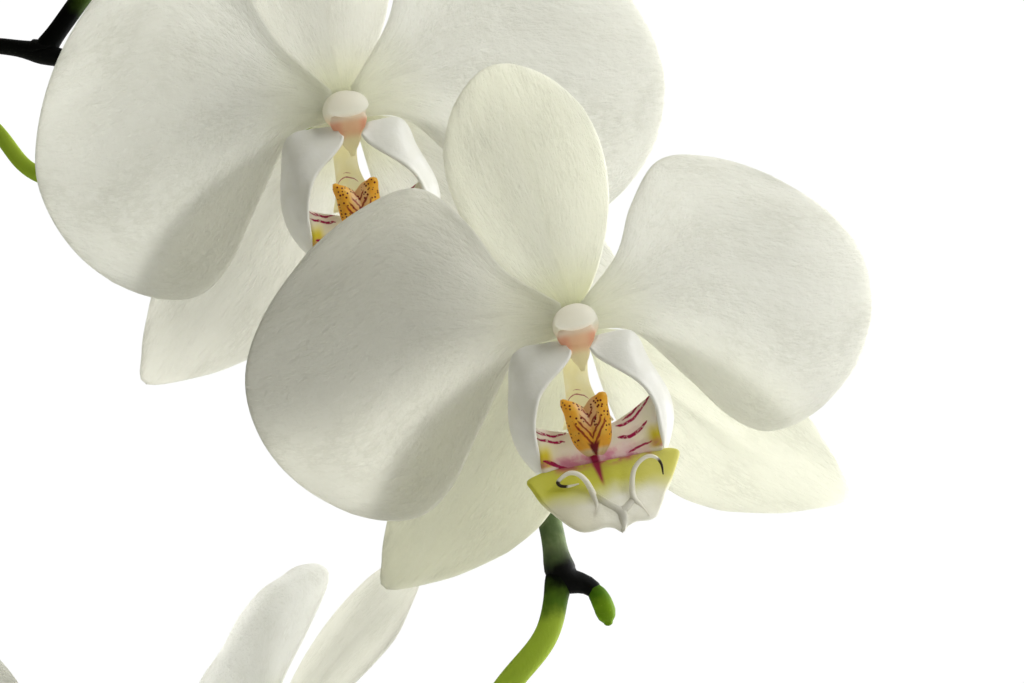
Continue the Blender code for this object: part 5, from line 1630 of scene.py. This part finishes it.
@dataclass
class Leaf:
    """An arching strap leaf and the base that clasps the crown."""

    name: str
    rank: int
    rise: float
    length: float
    width: float
    slope_start: float
    slope_end: float
    extra: float
    thickness: float = 2.2
    base_width: float = 0.26
    narrows: float = 0.55
    tip_half_width: float = 1.2
    channel: float = 0.16
    rows: int = 76
    columns: int = 31
    clasp: float = 11.0

    def grid(self, crown: Crown) -> tuple[np.ndarray, np.ndarray, np.ndarray, np.ndarray]:
        """The middle of the blade, its thickness, and the shares across and along at each point."""
        azimuth = math.radians(crown.rank_azimuth + 180.0 * self.rank + self.extra)
        outward = np.array([math.cos(azimuth), math.sin(azimuth), 0.0])
        sideways = np.array([-math.sin(azimuth), math.cos(azimuth), 0.0])
        point = outward * (crown.radius + crown.gap + self.thickness)
        point = point + np.array([0.0, 0.0, crown.bark_top + crown.gap + self.rise])
        shares = crowded(self.rows, False, 0.8)
        u, v = np.meshgrid(crowded(self.columns, True, 0.35), shares)
        middle = np.zeros((self.rows, self.columns, 3))
        seed = self.length * 0.37
        for r, t in enumerate(shares):
            slope = math.radians(self.slope_start + (self.slope_end - self.slope_start) * t)
            along = outward * math.cos(slope) + np.array([0.0, 0.0, math.sin(slope)])
            normal = np.cross(along, sideways)
            if r:
                point = point + along * (self.length * (t - shares[r - 1]))
            widening = min(1.0, self.base_width + 1.5 * t ** 0.8)
            narrowing = max(0.0, t - self.narrows) / (1.0 - self.narrows)
            spread = max(self.width / 2 * widening * (1 - narrowing ** 2) ** 0.6, self.tip_half_width)
            w = 2 * u[r] - 1
            lift = self.channel * spread * np.abs(w) ** 1.5 - 0.9 * np.exp(-(w / 0.07) ** 2) * min(1.0, 4 * t)
            wave = 0.9 * np.abs(w) ** 2 * math.sin(9.0 * t + seed) * math.sin(math.pi * t)
            middle[r] = point + sideways * (w * spread)[:, None] + normal * (lift + wave)[:, None]
        body = 1.25 - 0.5 * v
        thick = self.thickness * body * (0.3 + 0.7 * rim_share(u, v, 0.12)) * (1 - 0.4 * np.abs(2 * u - 1))
        return middle, thick, u, v

    def sheath(self, crown: Crown, first: np.ndarray, u: np.ndarray) -> bpy.types.Mesh:
        """The clasping base, from an arc round the crown to the first row of the blade."""
        azimuth = math.radians(crown.rank_azimuth + 180.0 * self.rank + self.extra)
        shares = np.linspace(0, 1, 16)
        uu, vv = np.meshgrid(u, shares)
        angle = azimuth + (2 * u - 1) * math.radians(88.0)
        low = crown.bark_top + self.rise - self.clasp
        rows = []
        for share in shares:
            radius = crown.radius * 0.99 + 0.9 * share
            height = low + (self.clasp + 1.0) * share
            arc = np.stack([radius * np.cos(angle), radius * np.sin(angle), np.full(len(u), height)], axis=1)
            ease = share ** 2 * (3 - 2 * share)
            rows.append(arc * (1 - ease) + first * ease)
        thick = 0.5 + 1.7 * vv * (0.4 + 0.6 * rim_share(uu, 1 - vv, 0.1))
        return sheet_mesh("sheath", np.array(rows), thick, uu, 0.02 + 0 * vv)

    def build(self, crown: Crown) -> None:
        """Make the blade and its base."""
        middle, thick, u, v = self.grid(crown)
        finish = LeafFinish().material()
        add_piece(self.name + "_blade", sheet_mesh("leaf", middle, thick, u, v), finish, (self.name,))
        add_piece(self.name + "_base", self.sheath(crown, middle[0], u[0]), finish)
        log.info("%s: %.0f mm long", self.name, self.length)


@dataclass
class AerialRoot:
    """A root from the crown out over the bark, with a growing tip."""

    name: str
    azimuth: float
    sweep: float
    route: tuple[Point, ...]
    radius: float = 2.7
    stand_off: float = 1.8

    def build(self, crown: Crown) -> None:
        """Make the root."""
        start = crown.radius + self.radius + self.stand_off
        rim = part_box("pot")[1][0] / MM - Pot.band_out
        points = []
        for k, (share, height) in enumerate(self.route):
            angle = math.radians(self.azimuth + self.sweep * k / (len(self.route) - 1))
            radius = start + (rim - start) * share
            points.append((radius * math.cos(angle), radius * math.sin(angle), crown.bark_top + height))
        inward = np.array(points[0]) * (0.55, 0.55, 1.0) + (0.0, 0.0, -1.0)
        path = smooth_path([tuple(inward), *points], 110)
        t = np.linspace(0, 1, len(path))
        knots = 1 + 0.05 * np.sin(21 * t + self.azimuth) + 0.03 * np.sin(47 * t + 2 * self.azimuth)
        radii = self.radius * (1.05 - 0.23 * t) * knots * np.interp(t, (0, 0.94, 1.0), (1, 1, 0.55))
        mesh = tube_mesh("root", path, radii, 24)
        layer = mesh.uv_layers["grid"].uv
        values = np.zeros(len(mesh.loops) * 2, dtype=np.float32)
        layer.foreach_get("vector", values)
        values[1::2] /= values[1::2].max()
        layer.foreach_set("vector", values)
        add_piece(self.name + "_skin", mesh, RootFinish().material(), (self.name,))
        log.info("%s: %d points", self.name, len(path))


LEAVES = (
    Leaf("leaf_1", 0, 7.0, 205.0, 74.0, 27.0, -40.0, -10.0), Leaf("leaf_2", 1, 9.0, 212.0, 76.0, 31.0, -40.0, 8.0),
    Leaf("leaf_3", 0, 15.0, 188.0, 70.0, 46.0, -26.0, 9.0), Leaf("leaf_4", 1, 17.0, 178.0, 68.0, 50.0, -24.0, -9.0),
    Leaf("leaf_5", 0, 22.0, 132.0, 56.0, 66.0, 4.0, -4.0), Leaf("leaf_6", 1, 24.0, 96.0, 44.0, 76.0, 34.0, 4.0),
)
ROOTS = (
    AerialRoot("aerial_root_1", 38.0, 26.0, ((0.0, 4.6), (0.175, 6.6), (0.423, 5.2), (0.649, 4.6), (0.794, 4.2))),
    AerialRoot("aerial_root_2", 104.0, 8.0, ((0.0, 5.0), (0.217, 10.0), (0.546, 15.0), (0.876, 19.0), (1.124, 16.0),
                                             (1.268, 2.0), (1.309, -16.0))),
    AerialRoot("aerial_root_3", 212.0, -10.0, ((0.0, 5.0), (0.258, 12.0), (0.629, 18.0), (0.959, 20.0),
                                               (1.175, 13.0), (1.268, -4.0), (1.278, -26.0), (1.227, -44.0))),
    AerialRoot("aerial_root_4", 296.0, -30.0, ((0.0, 4.6), (0.175, 6.2), (0.381, 5.0), (0.608, 4.8),
                                               (0.753, 4.4))),
)


# ------------------------------------------------------------------ studio

@dataclass
class Studio:
    """The floor, the soft light and the camera."""

    group: np.ndarray
    distance: float = 0.65
    frame_width: float = 0.17067
    floor_radius: float = 3.2
    fill: float = 0.235
    fill_tint: Colour = (1.0, 0.97, 0.76)
    backlight: float = 0.83

    def floor(self) -> None:
        """A plain pale floor under the pot."""
        bpy.ops.mesh.primitive_circle_add(vertices=96, radius=self.floor_radius, fill_type="NGON")
        disc = bpy.context.object
        disc.name = "floor"
        mat, n, shader, _ = new_material("floor_pale")
        shader.inputs["Base Color"].default_value = (0.86, 0.86, 0.85, 1.0)
        shader.inputs["Roughness"].default_value = 0.7
        disc.data.materials.append(mat)

    def world(self) -> None:
        """White behind the plant, and soft light that is stronger from behind and from the right."""
        world = bpy.data.worlds.new("studio")
        world.use_nodes = True
        bpy.context.scene.world = world
        n = Nodes(world.node_tree)
        shader = world.node_tree.nodes["Background"]
        facing = n.add("TexCoord").outputs["Generated"]
        key = Vector((0.55, 0.82, 0.0)).normalized()
        toward = n.add("VectorMath", {0: facing, 1: tuple(key)}, operation="DOT_PRODUCT").outputs["Value"]
        back = n.smooth(toward, -0.15, 0.9)
        soft = n.mix(back, tuple(c * self.fill for c in self.fill_tint), (self.backlight,) * 3)
        seen = n.add("LightPath").outputs["Is Camera Ray"]
        n.tree.links.new(n.mix(seen, soft, (1.02, 1.02, 1.02)), shader.inputs["Color"])

    def lamp(self, name: str, at: Point, aim: Point, size: float, power: float) -> None:
        """A square soft light that the camera doesn't see.

        Args:
            name: Name of the lamp.
            at: Place relative to the flower group, in metres.
            aim: Where it points, relative to the flower group, in metres.
            size: Side in metres.
            power: Power in watts.
        """
        data = bpy.data.lights.new(name, "AREA")
        data.size, data.energy = size, power
        lamp = bpy.data.objects.new(name, data)
        bpy.context.scene.collection.objects.link(lamp)
        group = Vector(self.group * MM)
        lamp.location = group + Vector(at)
        lamp.rotation_euler = (Vector(aim) - Vector(at)).to_track_quat("-Z", "Y").to_euler()
        lamp.visible_camera = False

    def camera(self) -> None:
        """Look level at the flower group along +Y."""
        data = bpy.data.cameras.new("camera")
        data.sensor_width = 36.0
        data.lens = data.sensor_width * self.distance / self.frame_width
        data.clip_start, data.clip_end = 0.02, 20.0
        camera = bpy.data.objects.new("camera", data)
        bpy.context.scene.collection.objects.link(camera)
        camera.location = Vector(self.group * MM) + Vector((0.0, -self.distance, 0.0))
        camera.rotation_euler = (math.radians(90.0), 0.0, 0.0)
        bpy.context.scene.camera = camera

    def build(self) -> None:
        """Set up the studio."""
        self.camera()
        self.floor()
        self.world()
        self.lamp("key", (1.14, 0.80, 0.10), (0.0, 0.02, 0.0), 0.9, 33.0)
        self.lamp("side", (1.0, -0.3, 1.1), (0.0, 0.0, 0.0), 0.8, 18.0)
        bpy.context.scene.view_settings.view_transform = "Standard"


def main() -> None:
    """Build the studio and every piece of the plant."""
    logging.basicConfig(level=logging.INFO)
    matrices = {plan.letter: plan.matrix() for plan in FLOWERS}
    group_point = np.array(matrices["a"].translation) / MM - np.array(FLOWER_A_IN_GROUP)
    Studio(group_point).build()
    Pot().build()
    BarkBed().build()
    crown = Crown()
    crown.build()
    for part in (*LEAVES, *ROOTS):
        part.build(crown)
    stalk = Stalk(group_point)
    stalk.build()
    for plan in FLOWERS:
        matrix = matrices[plan.letter]
        for part in (Tepals(plan, matrix), Lip(plan, matrix), Column(plan, matrix)):
            part.build()
        stalk.pedicel(plan, matrix)
        log.info("flower %s: middle at %s", plan.letter, tuple(round(c, 4) for c in matrix.translation))
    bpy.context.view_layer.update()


if __name__ == "__main__":
    main()
